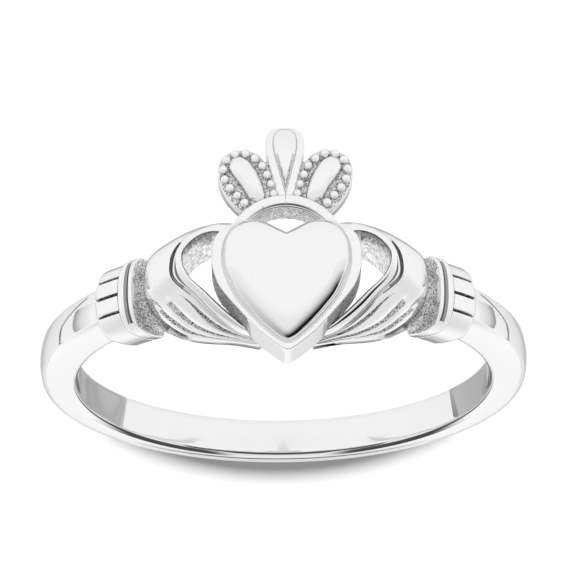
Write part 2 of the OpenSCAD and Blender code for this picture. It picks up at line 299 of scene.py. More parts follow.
def pushed_out(tree, out, amount):
    """A way outwards, as long as the amount."""
    return put(tree, "ShaderNodeVectorMath", {"operation": "SCALE"}, {
        0: out, "Scale": amount}).outputs[0]


def coated(tree, geometry, material):
    """The end of a tree: its instances made real, and all of it in one material."""
    whole = put(tree, "GeometryNodeRealizeInstances", {}, {0: geometry})
    return put(tree, "GeometryNodeSetMaterial", {}, {
        "Geometry": whole.outputs[0], "Material": material}).outputs[0]


# Points of a tree's result that lie closer than this, in millimetres, become one
MERGE = 0.00001
print("points merge under", MERGE, "mm")


def run_tree(name, base, tree, values, crease):
    """Gives a base object the node group with its named values and turns the result to a mesh."""
    holder = bpy.data.objects.new(name + "_base", base)
    bpy.context.scene.collection.objects.link(holder)
    modifier = holder.modifiers.new("shape", "NODES")
    modifier.node_group = tree
    sockets = {s.name: s.identifier for s in tree.interface.items_tree if s.in_out == "INPUT"}
    for label, value in values.items():
        modifier[sockets[label]] = value
    depsgraph = bpy.context.evaluated_depsgraph_get()
    mesh = bpy.data.meshes.new_from_object(holder.evaluated_get(depsgraph))
    mesh.name = name
    bpy.data.objects.remove(holder)
    coats = [m for m in mesh.materials if m]
    slots = [coats.index(mesh.materials[face.material_index]) for face in mesh.polygons]
    mesh.materials.clear()
    for coat in coats:
        mesh.materials.append(coat)
    mesh.polygons.foreach_set("material_index", slots)
    return finished_piece(name, mesh, crease, MERGE)


# %% [markdown]
# ## The metal
#
# One metal, left in several ways. Most of it is polished to a mirror with very fine marks of
# the polishing cloth. The recesses, which a polishing wheel can't reach, keep the sandy skin of
# the casting. Its finest lines, some hollows and the grooves get darker copies of the metal,
# which paint shade into them. An image could be laid on for this, but noise on Object
# coordinates follows any shape and stays sharp close up. Two groups are shared: the cloth's
# fine marks and the sandy skin.
#
# A mirror seen edge on shows what lies far off at the side. In a studio that is the dark room
# behind the lamps. Here that reflection is painted into the colour, so the polish turns darker
# where a face is seen edge on.

# %% Shared effects
def fine_marks_group():
    """Soft, shallow unevenness of a hand-polished surface: a roughness and a bent normal."""
    tree, e, leave = new_tree(
        "fine_marks", "ShaderNodeTree", {"Scale": 900.0, "Low": 0.05, "High": 0.1, "Depth": 0.02},
        {"Roughness": "NodeSocketFloat", "Normal": "NodeSocketVector"})
    place = put(tree, "ShaderNodeTexCoord")
    noise = put(tree, "ShaderNodeTexNoise", {}, {
        "Vector": place.outputs["Object"], "Scale": e["Scale"], "Detail": 4.0})
    spread = put(tree, "ShaderNodeMapRange", {}, {
        "Value": noise.outputs[0], "From Min": 0.3, "From Max": 0.7,
        "To Min": e["Low"], "To Max": e["High"]})
    bump = put(tree, "ShaderNodeBump", {}, {
        "Strength": e["Depth"], "Distance": 0.1 * MM, "Height": noise.outputs[0]})
    tree.links.new(spread.outputs[0], leave["Roughness"])
    tree.links.new(bump.outputs[0], leave["Normal"])
    return tree


def sand_group():
    """The sandy skin of a casting: a grainy normal and a tone that darkens the pits."""
    tree, e, leave = new_tree(
        "sand_skin", "ShaderNodeTree",
        {"Grain": 9000.0, "Stretch": (1.0, 1.0, 1.0), "Depth": 0.6, "Normal": "NodeSocketVector"},
        {"Tone": "NodeSocketFloat", "Normal": "NodeSocketVector"})
    place = put(tree, "ShaderNodeTexCoord")
    pulled = vector_calc(tree, "MULTIPLY", place.outputs["Object"], e["Stretch"])
    coarse = put(tree, "ShaderNodeTexNoise", {}, {
        "Vector": pulled.outputs[0], "Scale": e["Grain"], "Detail": 3.0, "Roughness": 0.7})
    pits = put(tree, "ShaderNodeTexVoronoi", {}, {
        "Vector": pulled.outputs[0], "Scale": calc(tree, "MULTIPLY", e["Grain"], 1.3)})
    height = calc(tree, "ADD", coarse.outputs[0], calc(tree, "MULTIPLY", pits.outputs[0], 0.5))
    bump = put(tree, "ShaderNodeBump", {}, {
        "Strength": e["Depth"], "Distance": 0.06 * MM, "Height": height,
        "Normal": e["Normal"]})
    tone = put(tree, "ShaderNodeMapRange", {}, {
        "Value": height, "From Min": 0.54, "From Max": 0.86, "To Min": 0.0, "To Max": 1.0})
    tree.links.new(tone.outputs[0], leave["Tone"])
    tree.links.new(bump.outputs[0], leave["Normal"])
    return tree


FINE_MARKS = fine_marks_group()
SAND = sand_group()
print("shared effects", FINE_MARKS.name, SAND.name)


# %% Finishes
def grey(level):
    """A plain grey as a colour."""
    return (level, level, level, 1.0)


METAL_TONE = (0.82, 0.82, 0.817, 1.0)
# A painted reflection: the polish's colour goes to this dark tone where a face is seen edge on.
PAINTED_EDGE_REFLECTION = grey(0.1)
SAND_TONE = (0.92, 0.92, 0.915, 1.0)


def new_metal(name, scale, low, high, depth):
    """A metal with the cloth's marks in its roughness. Gives the shader and their normal too."""
    material = bpy.data.materials.new(name)
    material.use_nodes = True
    tree = material.node_tree
    shader = tree.nodes["Principled BSDF"]
    shader.inputs["Metallic"].default_value = 1.0
    marks = put(tree, "ShaderNodeGroup", {"node_tree": FINE_MARKS}, {
        "Scale": scale, "Low": low, "High": high, "Depth": depth})
    tree.links.new(marks.outputs["Roughness"], shader.inputs["Roughness"])
    return material, shader, marks.outputs["Normal"]


def two_tones(tree, shader, share, first, second):
    """The metal's colour: the first tone where the share is 0, the second where it is 1."""
    tone = put(tree, "ShaderNodeMix", {"data_type": "RGBA"}, {"Factor": share, 6: first, 7: second})
    tree.links.new(tone.outputs[2], shader.inputs["Base Color"])


def polished_metal(name, low, high, painted_dark_from, painted_dark_to, metal=METAL_TONE):
    """Polish rough from low to high; painted reflection darkens its colour between two edge shares."""
    material, shader, bent = new_metal(name, 700.0, low, high, 0.02)
    tree = material.node_tree
    shader.inputs["Specular Tint"].default_value = grey(0.75)
    facing = put(tree, "ShaderNodeLayerWeight", {}, {"Blend": 0.5})
    turned = soft_step(tree, facing.outputs["Facing"], painted_dark_from, painted_dark_to)
    two_tones(tree, shader, turned, metal, PAINTED_EDGE_REFLECTION)
    tree.links.new(bent, shader.inputs["Normal"])
    return material


def sanded_metal(name, grain, stretch, depth, dark, light=SAND_TONE):
    """Sandy metal: the grain's scale, how it is drawn out, its depth and its two tones."""
    material, shader, bent = new_metal(name, 3000.0, 0.3, 0.5, 0.1)
    tree = material.node_tree
    skin = put(tree, "ShaderNodeGroup", {"node_tree": SAND}, {
        "Grain": grain, "Stretch": stretch, "Depth": depth, "Normal": bent})
    two_tones(tree, shader, skin.outputs["Tone"], grey(dark), light)
    tree.links.new(skin.outputs["Normal"], shader.inputs["Normal"])
    return material


# Both polishes darken by painted reflection where a face is seen edge on; the rounds start sooner.
POLISHED = polished_metal("polished_metal", 0.04, 0.08, 0.74, 0.94)
ROUNDED = polished_metal("polished_rounds", 0.04, 0.08, 0.62, 0.88)
# Darker copies of the polish paint shade into the hollows and along the fine dark lines.
PAINTED_HOLLOW_SHADE = polished_metal("painted_hollow_shade", 0.2, 0.3, 0.62, 0.88, (0.3, 0.3, 0.298, 1.0))
PAINTED_LINE_SHADE = polished_metal("painted_line_shade", 0.2, 0.3, 0.62, 0.88, (0.09, 0.09, 0.089, 1.0))
SANDED = sanded_metal("sanded_metal", 13000.0, (1, 1, 1), 0.8, 0.05)
BRUSHED = sanded_metal("brushed_metal", 9000.0, (1, 0.25, 1), 0.7, 0.45)
# A darker copy of the sandy skin: painted shade for the pleats' grooves, the cuffs' far ends and the
# heart's side wall.
PAINTED_SHADE_SAND = sanded_metal("sand_with_painted_shade", 8000.0, (1, 1, 1), 0.9, 0.02, (0.36, 0.36, 0.356, 1.0))
print("finishes", [m.name for m in (POLISHED, ROUNDED, PAINTED_HOLLOW_SHADE, PAINTED_LINE_SHADE, SANDED, BRUSHED, PAINTED_SHADE_SAND)])

# %% [markdown]
# ## The band
#
# On the real ring the band is a low-domed wire, thin at the back of the finger and thicker
# towards the head. A bent cylinder would have one thickness all round. It is one profile that
# follows a circle, so a node group sweeps it: a rectangle with rounded corners runs round an arc,
# and then every point is pushed out by as much as the band is thick at that angle.

# %% Band
def band_group():
    """Sweeps the band's profile round the finger hole and shapes it."""
    tree, e, leave = new_tree(
        "swept_band", "GeometryNodeTree",
        {"Geometry": GEOMETRY, "Hole radius": 8.65, "Thickness": 1.35, "Shift": 0.42,
         "Width": 1.75, "Dome": 0.15, "Soft edge": 0.15, "Tuck": 0.05, "Start": 0.0, "Sweep": 4.8,
         "Steps": 160, "Profile points": 96, "Material": MATERIAL}, {"Geometry": GEOMETRY})
    middle_r = calc(tree, "ADD", e["Hole radius"], calc(tree, "DIVIDE", e["Thickness"], 2.0))
    path = put(tree, "GeometryNodeCurveArc", {"mode": "RADIUS"}, {
        "Resolution": e["Steps"], "Radius": middle_r, "Start Angle": e["Start"],
        "Sweep Angle": e["Sweep"]})
    box = put(tree, "GeometryNodeCurvePrimitiveQuadrilateral", {"mode": "RECTANGLE"}, {
        "Width": e["Thickness"], "Height": e["Width"]})
    soft = put(tree, "GeometryNodeFilletCurve", {"mode": "POLY"}, {
        "Curve": box.outputs[0], "Radius": e["Soft edge"], "Count": 8})
    even = put(tree, "GeometryNodeResampleCurve", {"mode": "COUNT"}, {
        "Curve": soft.outputs[0], "Count": e["Profile points"]})
    swept = put(tree, "GeometryNodeCurveToMesh", {}, {
        "Curve": path.outputs[0], "Profile Curve": even.outputs[0], "Fill Caps": True})
    parts, far, out = seen_from_axis(tree)
    share = calc(tree, "DIVIDE", calc(tree, "SUBTRACT", far, e["Hole radius"]), e["Thickness"])
    turn = put(tree, "ShaderNodeSeparateXYZ", {}, {0: out})
    towards_head = calc(tree, "MULTIPLY", turn.outputs[1], -1.0)
    more = calc(tree, "MULTIPLY", towards_head, e["Shift"])
    across = calc(tree, "DIVIDE", calc(tree, "MULTIPLY", parts[2], 2.0), e["Width"])
    dome = calc(tree, "SUBTRACT", 1.0, calc(tree, "MULTIPLY", across, across))
    rise = calc(tree, "ADD", more, calc(tree, "MULTIPLY", dome, e["Dome"]))
    push = pushed_out(tree, out, calc(tree, "MULTIPLY", share, rise))
    from_middle = calc(tree, "SUBTRACT", calc(tree, "MULTIPLY", share, 2.0), 1.0)
    tuck = calc(tree, "MULTIPLY", calc(tree, "MULTIPLY", from_middle, from_middle), e["Tuck"])
    narrow = put(tree, "ShaderNodeCombineXYZ", {}, {
        2: calc(tree, "MULTIPLY", calc(tree, "MULTIPLY", parts[2], tuck), -1.0)})
    both = vector_calc(tree, "ADD", push, narrow.outputs[0])
    moved = put(tree, "GeometryNodeSetPosition", {}, {
        "Geometry": swept.outputs[0], "Offset": both.outputs[0]})
    tree.links.new(coated(tree, moved.outputs[0], e["Material"]), leave["Geometry"])
    return tree


# The band ends under the collars, at this angle from the head
BAND_FROM = math.radians(41)
band = run_tree("band", bpy.data.meshes.new("band_base"), band_group(), {
    "Hole radius": BORE_R, "Thickness": BAND_EDGE_R - BORE_R, "Shift": BAND_SHIFT,
    "Width": BAND_W, "Dome": BAND_DOME, "Soft edge": BAND_SOFT, "Tuck": BAND_TUCK,
    "Start": BAND_FROM - math.pi / 2, "Sweep": 2 * (math.pi - BAND_FROM), "Steps": 180,
    "Profile points": 104, "Material": POLISHED}, crease=60)
hand_in(band)

# %% [markdown]
# ## Cuffs, collars and necks
#
# A sleeve's end wraps the band on each side: a pleated cuff, a plain raised collar, and a sunk
# sandy neck where the wrist goes in. They could be cut out of a thick band, but each is simpler
# as one profile carried round the finger hole a few degrees. Near an end the profile narrows and
# drops a little, which rounds the end as a file does.
#
# The pleats repeat, so a node group presses them into the cuff; their grooves and the cuff's far
# end get a darker copy of the sandy skin, which paints shade into them. The collar has a thin rim
# beside the neck. The line behind the rim, the hollow beyond it and the foot of the far end get
# darker copies of the polish, which paint shade into them.

# %% Sleeve sections
# Roundness of a sleeve's top: 2 is an ellipse, more is boxier
ROUNDNESS = 2.4


def sleeve_ring(angle, outer_r, half_w, foot, high, wall):
    """One closed section of a sleeve: a rounded top and sides that draw in at the finger."""
    inner_r = BORE_R + wall
    turn = np.linspace(math.pi, 0, 181)
    c, s = np.cos(turn), np.sin(turn)
    top = np.stack([outer_r - high + high * np.abs(s) ** (2 / ROUNDNESS),
                    half_w * np.sign(c) * np.abs(c) ** (2 / ROUNDNESS)], 1)
    up = np.linspace(0, 1, 10)[:-1]
    side_r = inner_r + (outer_r - high - inner_r) * up
    side_z = half_w - (half_w - foot) * (1 - up) ** 2
    floor = np.linspace([inner_r, foot], [inner_r, -foot], 9)[1:-1]
    ring = np.vstack([np.stack([side_r, -side_z], 1), top, np.stack([side_r, side_z], 1)[::-1],
                      floor])
    r, z = ring[:, 0], ring[:, 1]
    return np.stack([r * math.sin(angle), -r * math.cos(angle), z], 1)


def round_off(t, corner):
    """How far a rounded corner has drawn in at the distance t from the end."""
    s = np.clip(1 - t / corner, 0, 1)
    return corner * (1 - np.sqrt(1 - s * s))


# For each sleeve: the angles from the head where it starts and ends, its outer radius and width,
# half its width at the finger, the height of its round, how far each end is rounded in the width
# and in the height, and its place in the row of walls round the finger hole
SLEEVES = {
    "cuff": (37.4, 45.1, 10.8, 3.06, 1.36, 1.0, (0.05, 0.3), (0.05, 0.12), 1),
    "collar": (34.2, 38.25, 10.93, 3.16, 1.37, 1.0, (0.06, 0.3), (0.06, 0.16), 2),
    "neck": (32.1, 35.8, 10.44, 2.7, 1.05, 1.3, (0.02, 0.02), (0.02, 0.02), 3)}
SLEEVE_STEPS = 36


def sleeve(kind, shape=None):
    """A sleeve of one kind. shape gives the rise of its top at a length along it."""
    a0, a1, outer_r, w, foot, high, ends, drops, order = SLEEVES[kind]
    wall = order * WALL_STEP
    length = math.radians(a1 - a0) * outer_r
    even = np.linspace(0, 1, SLEEVE_STEPS)
    rounded = (1 - np.cos(math.pi * even)) / 2
    t = (np.interp(even, [0, 0.25, 0.75, 1], [0, 0.16, 0.84, 1]) + rounded) / 2
    rings = []
    for s in t * length:
        narrow = max(round_off(s, ends[0]), round_off(length - s, ends[1]))
        drop = max(round_off(s, drops[0]), round_off(length - s, drops[1]))
        rise = shape(s) if shape else 0.0
        half = w / 2 - narrow
        angle = math.radians(a0) + s / outer_r
        rings.append(sleeve_ring(angle, outer_r - drop + rise, half, foot - narrow, high, wall))
    return loft(rings)


print("sleeves", {kind: "%.2f mm long" % (math.radians(row[1] - row[0]) * row[2])
                  for kind, row in SLEEVES.items()})


# %% Pleats
def pleat_group():
    """Presses grooves into a sleeve's top, side by side round the finger; they and the far end get
    painted shade.
    """
    tree, e, leave = new_tree(
        "pleats", "GeometryNodeTree",
        {"Geometry": GEOMETRY, "Spacing": 0.74, "Offset": 0.0, "Reach": 1.5, "Groove width": 0.1,
         "Depth": 0.12, "From radius": 10.3, "Painted shade angle": 0.78, "Material": MATERIAL,
         "Painted groove shade": MATERIAL}, {"Geometry": GEOMETRY})
    parts, far, out = seen_from_axis(tree)
    place = calc(tree, "DIVIDE", calc(tree, "SUBTRACT", parts[2], e["Offset"]), e["Spacing"])
    kept = calc(tree, "MAXIMUM", calc(tree, "MINIMUM", calc(tree, "ROUND", place), e["Reach"]),
                calc(tree, "MULTIPLY", e["Reach"], -1.0))
    away = calc(tree, "MULTIPLY", calc(tree, "ABSOLUTE", calc(tree, "SUBTRACT", place, kept)),
                e["Spacing"])
    groove = soft_step(tree, away, 0.0, calc(tree, "DIVIDE", e["Groove width"], 2.0), 1.0, 0.0)
    top = soft_step(tree, far, e["From radius"], calc(tree, "ADD", e["From radius"], 0.1))
    pressed = calc(tree, "MULTIPLY", groove, top)
    press = calc(tree, "MULTIPLY", pressed, calc(tree, "MULTIPLY", e["Depth"], -1.0))
    moved = put(tree, "GeometryNodeSetPosition", {}, {
        "Geometry": e["Geometry"], "Offset": pushed_out(tree, out, press)})
    angle = calc(tree, "ARCTAN2", calc(tree, "ABSOLUTE", parts[0]),
                 calc(tree, "MULTIPLY", parts[1], -1.0))
    # The grooves and the far end take the second material, which paints shade into them.
    painted_shade_faces = calc(tree, "MAXIMUM", calc(tree, "GREATER_THAN", pressed, 0.4),
                  calc(tree, "GREATER_THAN", angle, e["Painted shade angle"]))
    dark = put(tree, "GeometryNodeSetMaterial", {}, {
        "Geometry": coated(tree, moved.outputs[0], e["Material"]), "Selection": painted_shade_faces,
        "Material": e["Painted groove shade"]})
    tree.links.new(dark.outputs[0], leave["Geometry"])
    return tree


PLEATS = pleat_group()
print("pleats are made by", PLEATS.name)

# %% Collar
COLLAR_FROM, COLLAR_TO, COLLAR_R = SLEEVES["collar"][:3]
COLLAR_LENGTH = math.radians(COLLAR_TO - COLLAR_FROM) * COLLAR_R
COLLAR_RIM, COLLAR_SUNK = 0.2, 0.1
# Where the painted dark line and the painted shade of the hollow beside the rim end, the width
# of the painted line at the far end, and the least radius of them all
PAINTED_LINE_END, PAINTED_HOLLOW_END, PAINTED_FAR_LINE, PAINTED_LINE_R = 0.32, 0.42, 0.1, 10.5
# A face closer than this to an end, in millimetres, is part of the end
AT_END = 0.001


def collar_shape(s):
    """A thin rim beside the neck, then a hollow that rises to the collar's round."""
    hollow = ease(COLLAR_RIM * 0.75, COLLAR_RIM * 1.05, s) * (1 - ease(0.36, 0.56, s))
    return -COLLAR_SUNK * hollow


def collar_kind(points, face):
    """A face's finish: 0 polished, 1 painted shade in the hollow, 2 a painted dark line, 3 sandy."""
    middle = middle_of(points, face)
    s = (math.atan2(middle[0], -middle[1]) - math.radians(COLLAR_FROM)) * COLLAR_R
    if abs(s) < AT_END:
        return 3 if abs(middle[2]) > 0.6 else 0
    if math.hypot(middle[0], middle[1]) < PAINTED_LINE_R:
        return 0
    if COLLAR_RIM < s < PAINTED_LINE_END or COLLAR_LENGTH - PAINTED_FAR_LINE < s < COLLAR_LENGTH - AT_END:
        return 2
    return 1 if PAINTED_LINE_END <= s < PAINTED_HOLLOW_END else 0


# %% Cuffs, collars and necks
for side, flip in SIDES.items():
    points, faces = sleeve("cuff")
    hand_in(run_tree("cuff_" + side, new_mesh("cuff_base", points * flip, faces), PLEATS, {
        "Spacing": 0.74, "Offset": -0.01, "Reach": 1.0, "Groove width": 0.15, "Depth": 0.2,
        "From radius": 10.25, "Painted shade angle": math.radians(SLEEVES["cuff"][1] - 0.45),
        "Material": ROUNDED, "Painted groove shade": PAINTED_SHADE_SAND}, crease=50))

    points, faces = sleeve("collar", collar_shape)
    hand_in(make_piece("collar_" + side, points * flip, faces, [ROUNDED, PAINTED_HOLLOW_SHADE, PAINTED_LINE_SHADE, SANDED],
                       [collar_kind(points, f) for f in faces], crease=50))

    # The neck is sandy outside, and polished where it lies in the finger hole
    points, faces = sleeve("neck")
    kinds = [1 if np.hypot(*middle_of(points, f)[:2]) < BORE_R + 0.25 else 0 for f in faces]
    hand_in(make_piece("neck_" + side, points * flip, faces, [SANDED, ROUNDED], kinds, crease=50))

# %% [markdown]
# ## The hands
#
# Each hand is a cast plate that curls round the opening beside the heart: a thumb above, four
# fingers below that meet under the heart. It could be sculpted, but a fan of sections from the
# opening's edge to the hand's outer edge carries its surface by a rule, so a section that is
# moved takes its neighbours along.
#
# The lines on it were read from the photograph as places across that fan: a rolled strip round
# the opening, a hollow beside it, and three sandy grooves between the fingers. The columns of
# the mesh run along these lines, so each line can have a finish of its own, or painted shade.

# %% The hand's smooth surface
HEART_HALF, WRIST_X = 2.94, 5.65
HAND_HALF, HAND_RISE, HAND_ROUND = 2.0, 2.9, 1.18
# Inner x, z and lift, then outer x, z and lift. x counts 0 at the middle, 1 at the heart's side
# and 2 at the wrist; z is a share of HAND_HALF and the lifts are shares of HAND_RISE.
HAND_SECTIONS = np.array([
    [0.77, 0.700, 0.88, 0.52, 0.970, 0.72], [0.92, 0.790, 0.93, 0.79, 1.060, 0.74],
    [1.09, 0.765, 0.97, 0.98, 1.050, 0.77], [1.24, 0.670, 1.00, 1.25, 0.990, 0.78],
    [1.35, 0.525, 1.00, 1.52, 0.875, 0.76], [1.42, 0.400, 1.00, 1.79, 0.700, 0.73],
    [1.43, 0.290, 1.00, 1.97, 0.500, 0.68], [1.42, 0.160, 0.99, 2.00, 0.050, 0.74],
    [1.38, 0.040, 0.96, 1.97, -0.250, 0.71], [1.33, -0.075, 0.93, 1.82, -0.490, 0.42],
    [1.24, -0.200, 0.88, 1.69, -0.580, 0.20], [1.11, -0.335, 0.81, 1.52, -0.725, 0.15],
    [0.99, -0.485, 0.73, 1.33, -0.880, 0.16], [0.85, -0.665, 0.64, 1.13, -0.965, 0.16],
    [0.71, -0.825, 0.56, 0.94, -1.030, 0.14], [0.58, -0.990, 0.48, 0.75, -1.070, 0.14],
    [0.42, -1.110, 0.42, 0.51, -1.160, 0.15], [0.31, -1.180, 0.39, 0.36, -1.215, 0.18]])
# Rows of the mesh between two sections, and over how many rows the outline and the level are evened
ROWS_BETWEEN = 9
HAND_EVEN, HAND_LEVEL_EVEN = 8, 22


print(len(HAND_SECTIONS), "sections with", ROWS_BETWEEN, "rows between two")


def hand_section(u):
    """The fan's section at u, which counts the rows of the table."""
    last = len(HAND_SECTIONS) - 1
    i = int(min(math.floor(u), last - 1))
    before, after = HAND_SECTIONS[max(i - 1, 0)], HAND_SECTIONS[min(i + 2, last)]
    return blend4(before, HAND_SECTIONS[i], HAND_SECTIONS[i + 1], after, u - i)


def hand_x(share):
    """A place in x from its share: to the heart's side first, then on to the wrist."""
    wide = HEART_HALF + (share - 1) * (WRIST_X - HEART_HALF)
    return np.where(share < 1, share * HEART_HALF, wide)


def hand_surface(u, w):
    """The hand's smooth surface at the places w across the section u: x, z and level."""
    s = hand_section(u)
    across = np.sin(math.pi / 2 * w) ** HAND_ROUND
    down = np.maximum(0, np.cos(math.pi / 2 * w)) ** HAND_ROUND
    x = hand_x(s[0]) + (hand_x(s[3]) - hand_x(s[0])) * across
    z = HAND_HALF * (s[1] + (s[4] - s[1]) * across)
    lift = HAND_RISE * (s[5] + (s[2] - s[5]) * down)
    return np.stack([x, z, np.sqrt((BORE_R + lift) ** 2 - x * x)], 1)


# %% The lines on the hand
# Places of the lines across the fan (0 the opening, 1 the outer edge) at rows of the sections
HAND_LINES = {
    "strip": [(0, .5), (1.8, .5), (2.3, .44), (3, .39), (3.8, .33), (4.6, .2), (6.2, .14),
              (7.3, .15), (8.7, .17), (10.2, .17), (11.4, .2), (12.4, .24), (13.6, .31),
              (14.7, .4), (15.4, .5), (17, .6)],
    "hollow": [(0, .53), (1.8, .53), (2.3, .48), (3, .43), (3.8, .38), (4.2, .32), (5.4, .24),
               (6.5, .25), (7.5, .28), (8.3, .28), (9.3, .26), (10.5, .25), (11.6, .27),
               (13.1, .335), (14.2, .44), (14.9, .5), (15.6, .56), (17, .63)],
    "first_top": [(0, .58), (8, .36), (10.4, .33), (11.9, .36), (12.8, .41), (13.8, .47),
                  (14.5, .55), (15.3, .6), (17, .68)],
    "first_low": [(0, .6), (8, .375), (10.4, .345), (11.3, .385), (12.1, .44), (13, .5),
                  (13.8, .58), (14.6, .64), (15.3, .66), (17, .72)],
    "second_top": [(0, .64), (8, .48), (9.4, .49), (10.6, .54), (11.6, .6), (12.5, .65),
                   (13.4, .72), (14.2, .76), (15, .78), (17, .82)],
    "second_low": [(0, .68), (8, .56), (9.3, .595), (10.7, .64), (11.5, .67), (12.6, .73),
                   (13.4, .78), (14.2, .81), (15, .83), (17, .86)],
    "third_top": [(0, .74), (8, .68), (9.2, .7), (10.2, .74), (11.1, .79), (11.9, .82),
                  (12.7, .85), (13.1, .87), (14, .89), (17, .92)],
    "third_low": [(0, .8), (8, .76), (9.2, .79), (10.2, .84), (11.1, .88), (11.9, .9),
                  (12.7, .92), (13.1, .93), (14, .945), (17, .96)],
}
# Steps between neighbouring lines across the hand, and what lies between them
HAND_BANDS = [("strip", 8), ("hollow", 9), ("finger", 8), ("groove", 5), ("finger", 7),
              ("groove", 5), ("finger", 6), ("groove", 5), ("finger", 6)]
print(len(HAND_LINES), "lines,", sum(steps for kind, steps in HAND_BANDS), "columns of faces")


def hand_columns(u):
    """Places across one section, so that columns of the mesh run along the lines."""
    marks = [0.0]
    for knots in HAND_LINES.values():
        marks.append(float(np.interp(u, *np.array(knots).T)))
    marks.append(1.0)
    places, band, share = [], [], []
    for k, (kind, steps) in enumerate(HAND_BANDS):
        for j in range(steps):
            places.append(marks[k] + (marks[k + 1] - marks[k]) * j / steps)
            band.append(k)
            share.append(j / steps)
    places.append(1.0)
    band.append(len(HAND_BANDS) - 1)
    share.append(1.0)
    return np.array(places), np.array(band), np.array(share)


# The row at which each groove starts, and how full each finger is, by their places in HAND_BANDS
GROOVE_START = {3: 10.2, 5: 9.3, 7: 9.1}
FINGER_BULGE = {2: 0.02, 4: 0.06, 6: 0.06, 8: 0.05}
STRIP_RISE, HOLLOW_DEPTH, GROOVE_DEPTH = 0.03, 0.17, 0.13


def hand_relief(u, band, t):
    """How far the strip, the hollow, the fingers and the grooves leave the smooth surface."""
    rise = np.zeros(len(t))
    strip = band == 0
    rise[strip] = STRIP_RISE * np.sin(math.pi * t[strip]) * ease(1.5, 4, u)
    hollow = band == 1
    deep = HOLLOW_DEPTH * ease(2.8, 5.5, u) * (1 - 0.55 * ease(9.5, 12, u))
    rise[hollow] = -deep * 4 * t[hollow] * (1 - t[hollow]) * (0.6 + 0.8 * t[hollow])
    for k, start in GROOVE_START.items():
        groove = band == k
        begun = ease(start, start + 0.5, u)
        rise[groove] = -GROOVE_DEPTH * begun * np.minimum(1, 3.2 * np.sin(math.pi * t[groove]))
    for k, bulge in FINGER_BULGE.items():
        finger = band == k
        rise[finger] = bulge * ease(9.2, 11.5, u) * np.sin(math.pi * t[finger])
    return rise


def evened(grid, reach):
    """The hand's rows averaged with their neighbours, which takes out the fan's corners."""
    steps = np.arange(-reach, reach + 1)
    weights = np.exp(-(steps / (reach / 2)) ** 2 / 2)
    weights /= weights.sum()
    before = 2 * grid[:1] - grid[reach:0:-1]
    after = 2 * grid[-1:] - grid[-2:-reach - 2:-1]
    long = np.concatenate([before, grid, after])
    return sum(w * long[k:k + len(grid)] for k, w in enumerate(weights))


# %% Hands
# Keeps a division from falling on zero
TINY = 1e-9
# How far the first columns drop at the opening, which rounds its edge
OPENING_DROP = [0.055, 0.02, 0.005]


def hand_row(u):
    """One row of points: the smooth surface, moved along its normal by the relief."""
    places, band, share = hand_columns(u)
    ahead = hand_surface(min(u + 0.02, len(HAND_SECTIONS) - 1), places)
    behind = hand_surface(max(u - 0.02, 0), places)
    side_a = hand_surface(u, np.minimum(places + 0.004, 1))
    side_b = hand_surface(u, np.maximum(places - 0.004, 0))
    normal = np.cross(ahead - behind, side_a - side_b)
    normal /= np.maximum(np.linalg.norm(normal, axis=1, keepdims=True), TINY)
    normal *= np.sign(normal[:, 2:3] + TINY)
    lifted = hand_surface(u, places) + normal * hand_relief(u, band, share)[:, None]
    lifted[:len(OPENING_DROP), 2] -= OPENING_DROP
    return lifted


def hand_face_kind(u, c, last, band):
    """A front face's finish by its row, column and band: 0 polished, 1 sandy, 3 painted dark line, 4
    painted shade.
    """
    # Painted shade: dark lines along the opening, the outer edge and the start of the hollow, and grey
    # shade in the hollow.
    if c == 0 or (c == last - 1 and 5 < u < 9.3) or (c in (8, 9) and 4.2 < u < 10.4):
        return 3
    if c in (10, 11, 12) and 4.6 < u < 9.6:
        return 4
    return 1 if band in GROOVE_START and u > GROOVE_START[band] + 0.1 else 0


def hand_mesh():
    """The hand's front and back, the walls between them, and each face's finish."""
    rows = ROWS_BETWEEN * (len(HAND_SECTIONS) - 1)
    grid = np.array([hand_row(r / ROWS_BETWEEN) for r in range(rows + 1)])
    grid = np.concatenate([evened(grid[..., :2], HAND_EVEN),
                           evened(grid[..., 2:], HAND_LEVEL_EVEN)], -1)
    bands = hand_columns(0)[1]
    r_count, c_count = grid.shape[:2]
    front = np.stack([grid[..., 0], -grid[..., 2], grid[..., 1]], -1).reshape(-1, 3)
    wall_r = BORE_R + 4 * WALL_STEP
    back_y = -np.sqrt(wall_r ** 2 - front[:, 0] ** 2)
    back = np.stack([front[:, 0], back_y, front[:, 2]], 1)
    faces, kinds = [], []
    m = len(front)
    for r in range(r_count - 1):
        u = (r + 0.5) / ROWS_BETWEEN
        for c in range(c_count - 1):
            k = r * c_count + c
            faces.append((k, k + 1, k + 1 + c_count, k + c_count))
            kinds.append(hand_face_kind(u, c, c_count - 1, bands[c]))
            faces.append((k + m, k + c_count + m, k + 1 + c_count + m, k + 1 + m))
            kinds.append(0)
    # The walls are brushed round the opening, polished outside and sandy at both ends
    for r in range(r_count - 1):
        for c, kind in ((0, 2), (c_count - 1, 0)):
            k = r * c_count + c
            faces.append((k, k + c_count, k + c_count + m, k + m))
            kinds.append(kind)
    for c in range(c_count - 1):
        for r in (0, r_count - 1):
            k = r * c_count + c
            faces.append((k, k + 1, k + 1 + m, k + m))
            kinds.append(1)
    return np.vstack([front, back]), faces, kinds


points, faces, kinds = hand_mesh()
for side, flip in SIDES.items():
    hand_in(make_piece("hand_" + side, points * flip, faces,
                       [ROUNDED, SANDED, BRUSHED, PAINTED_LINE_SHADE, PAINTED_HOLLOW_SHADE], kinds, crease=40))

# %% [markdown]
# ## The heart
#
# A thick heart-shaped plate with a flat rim, and on it a raised heart with a steep rounded edge
# and a nearly flat, gently domed top. A bevel would round the edge but leave the top flat, so
# the outline is drawn in ring by ring while it rises along a curve. Its two outlines were read
# from the photograph. Only half is given, because the heart is the same on both sides.

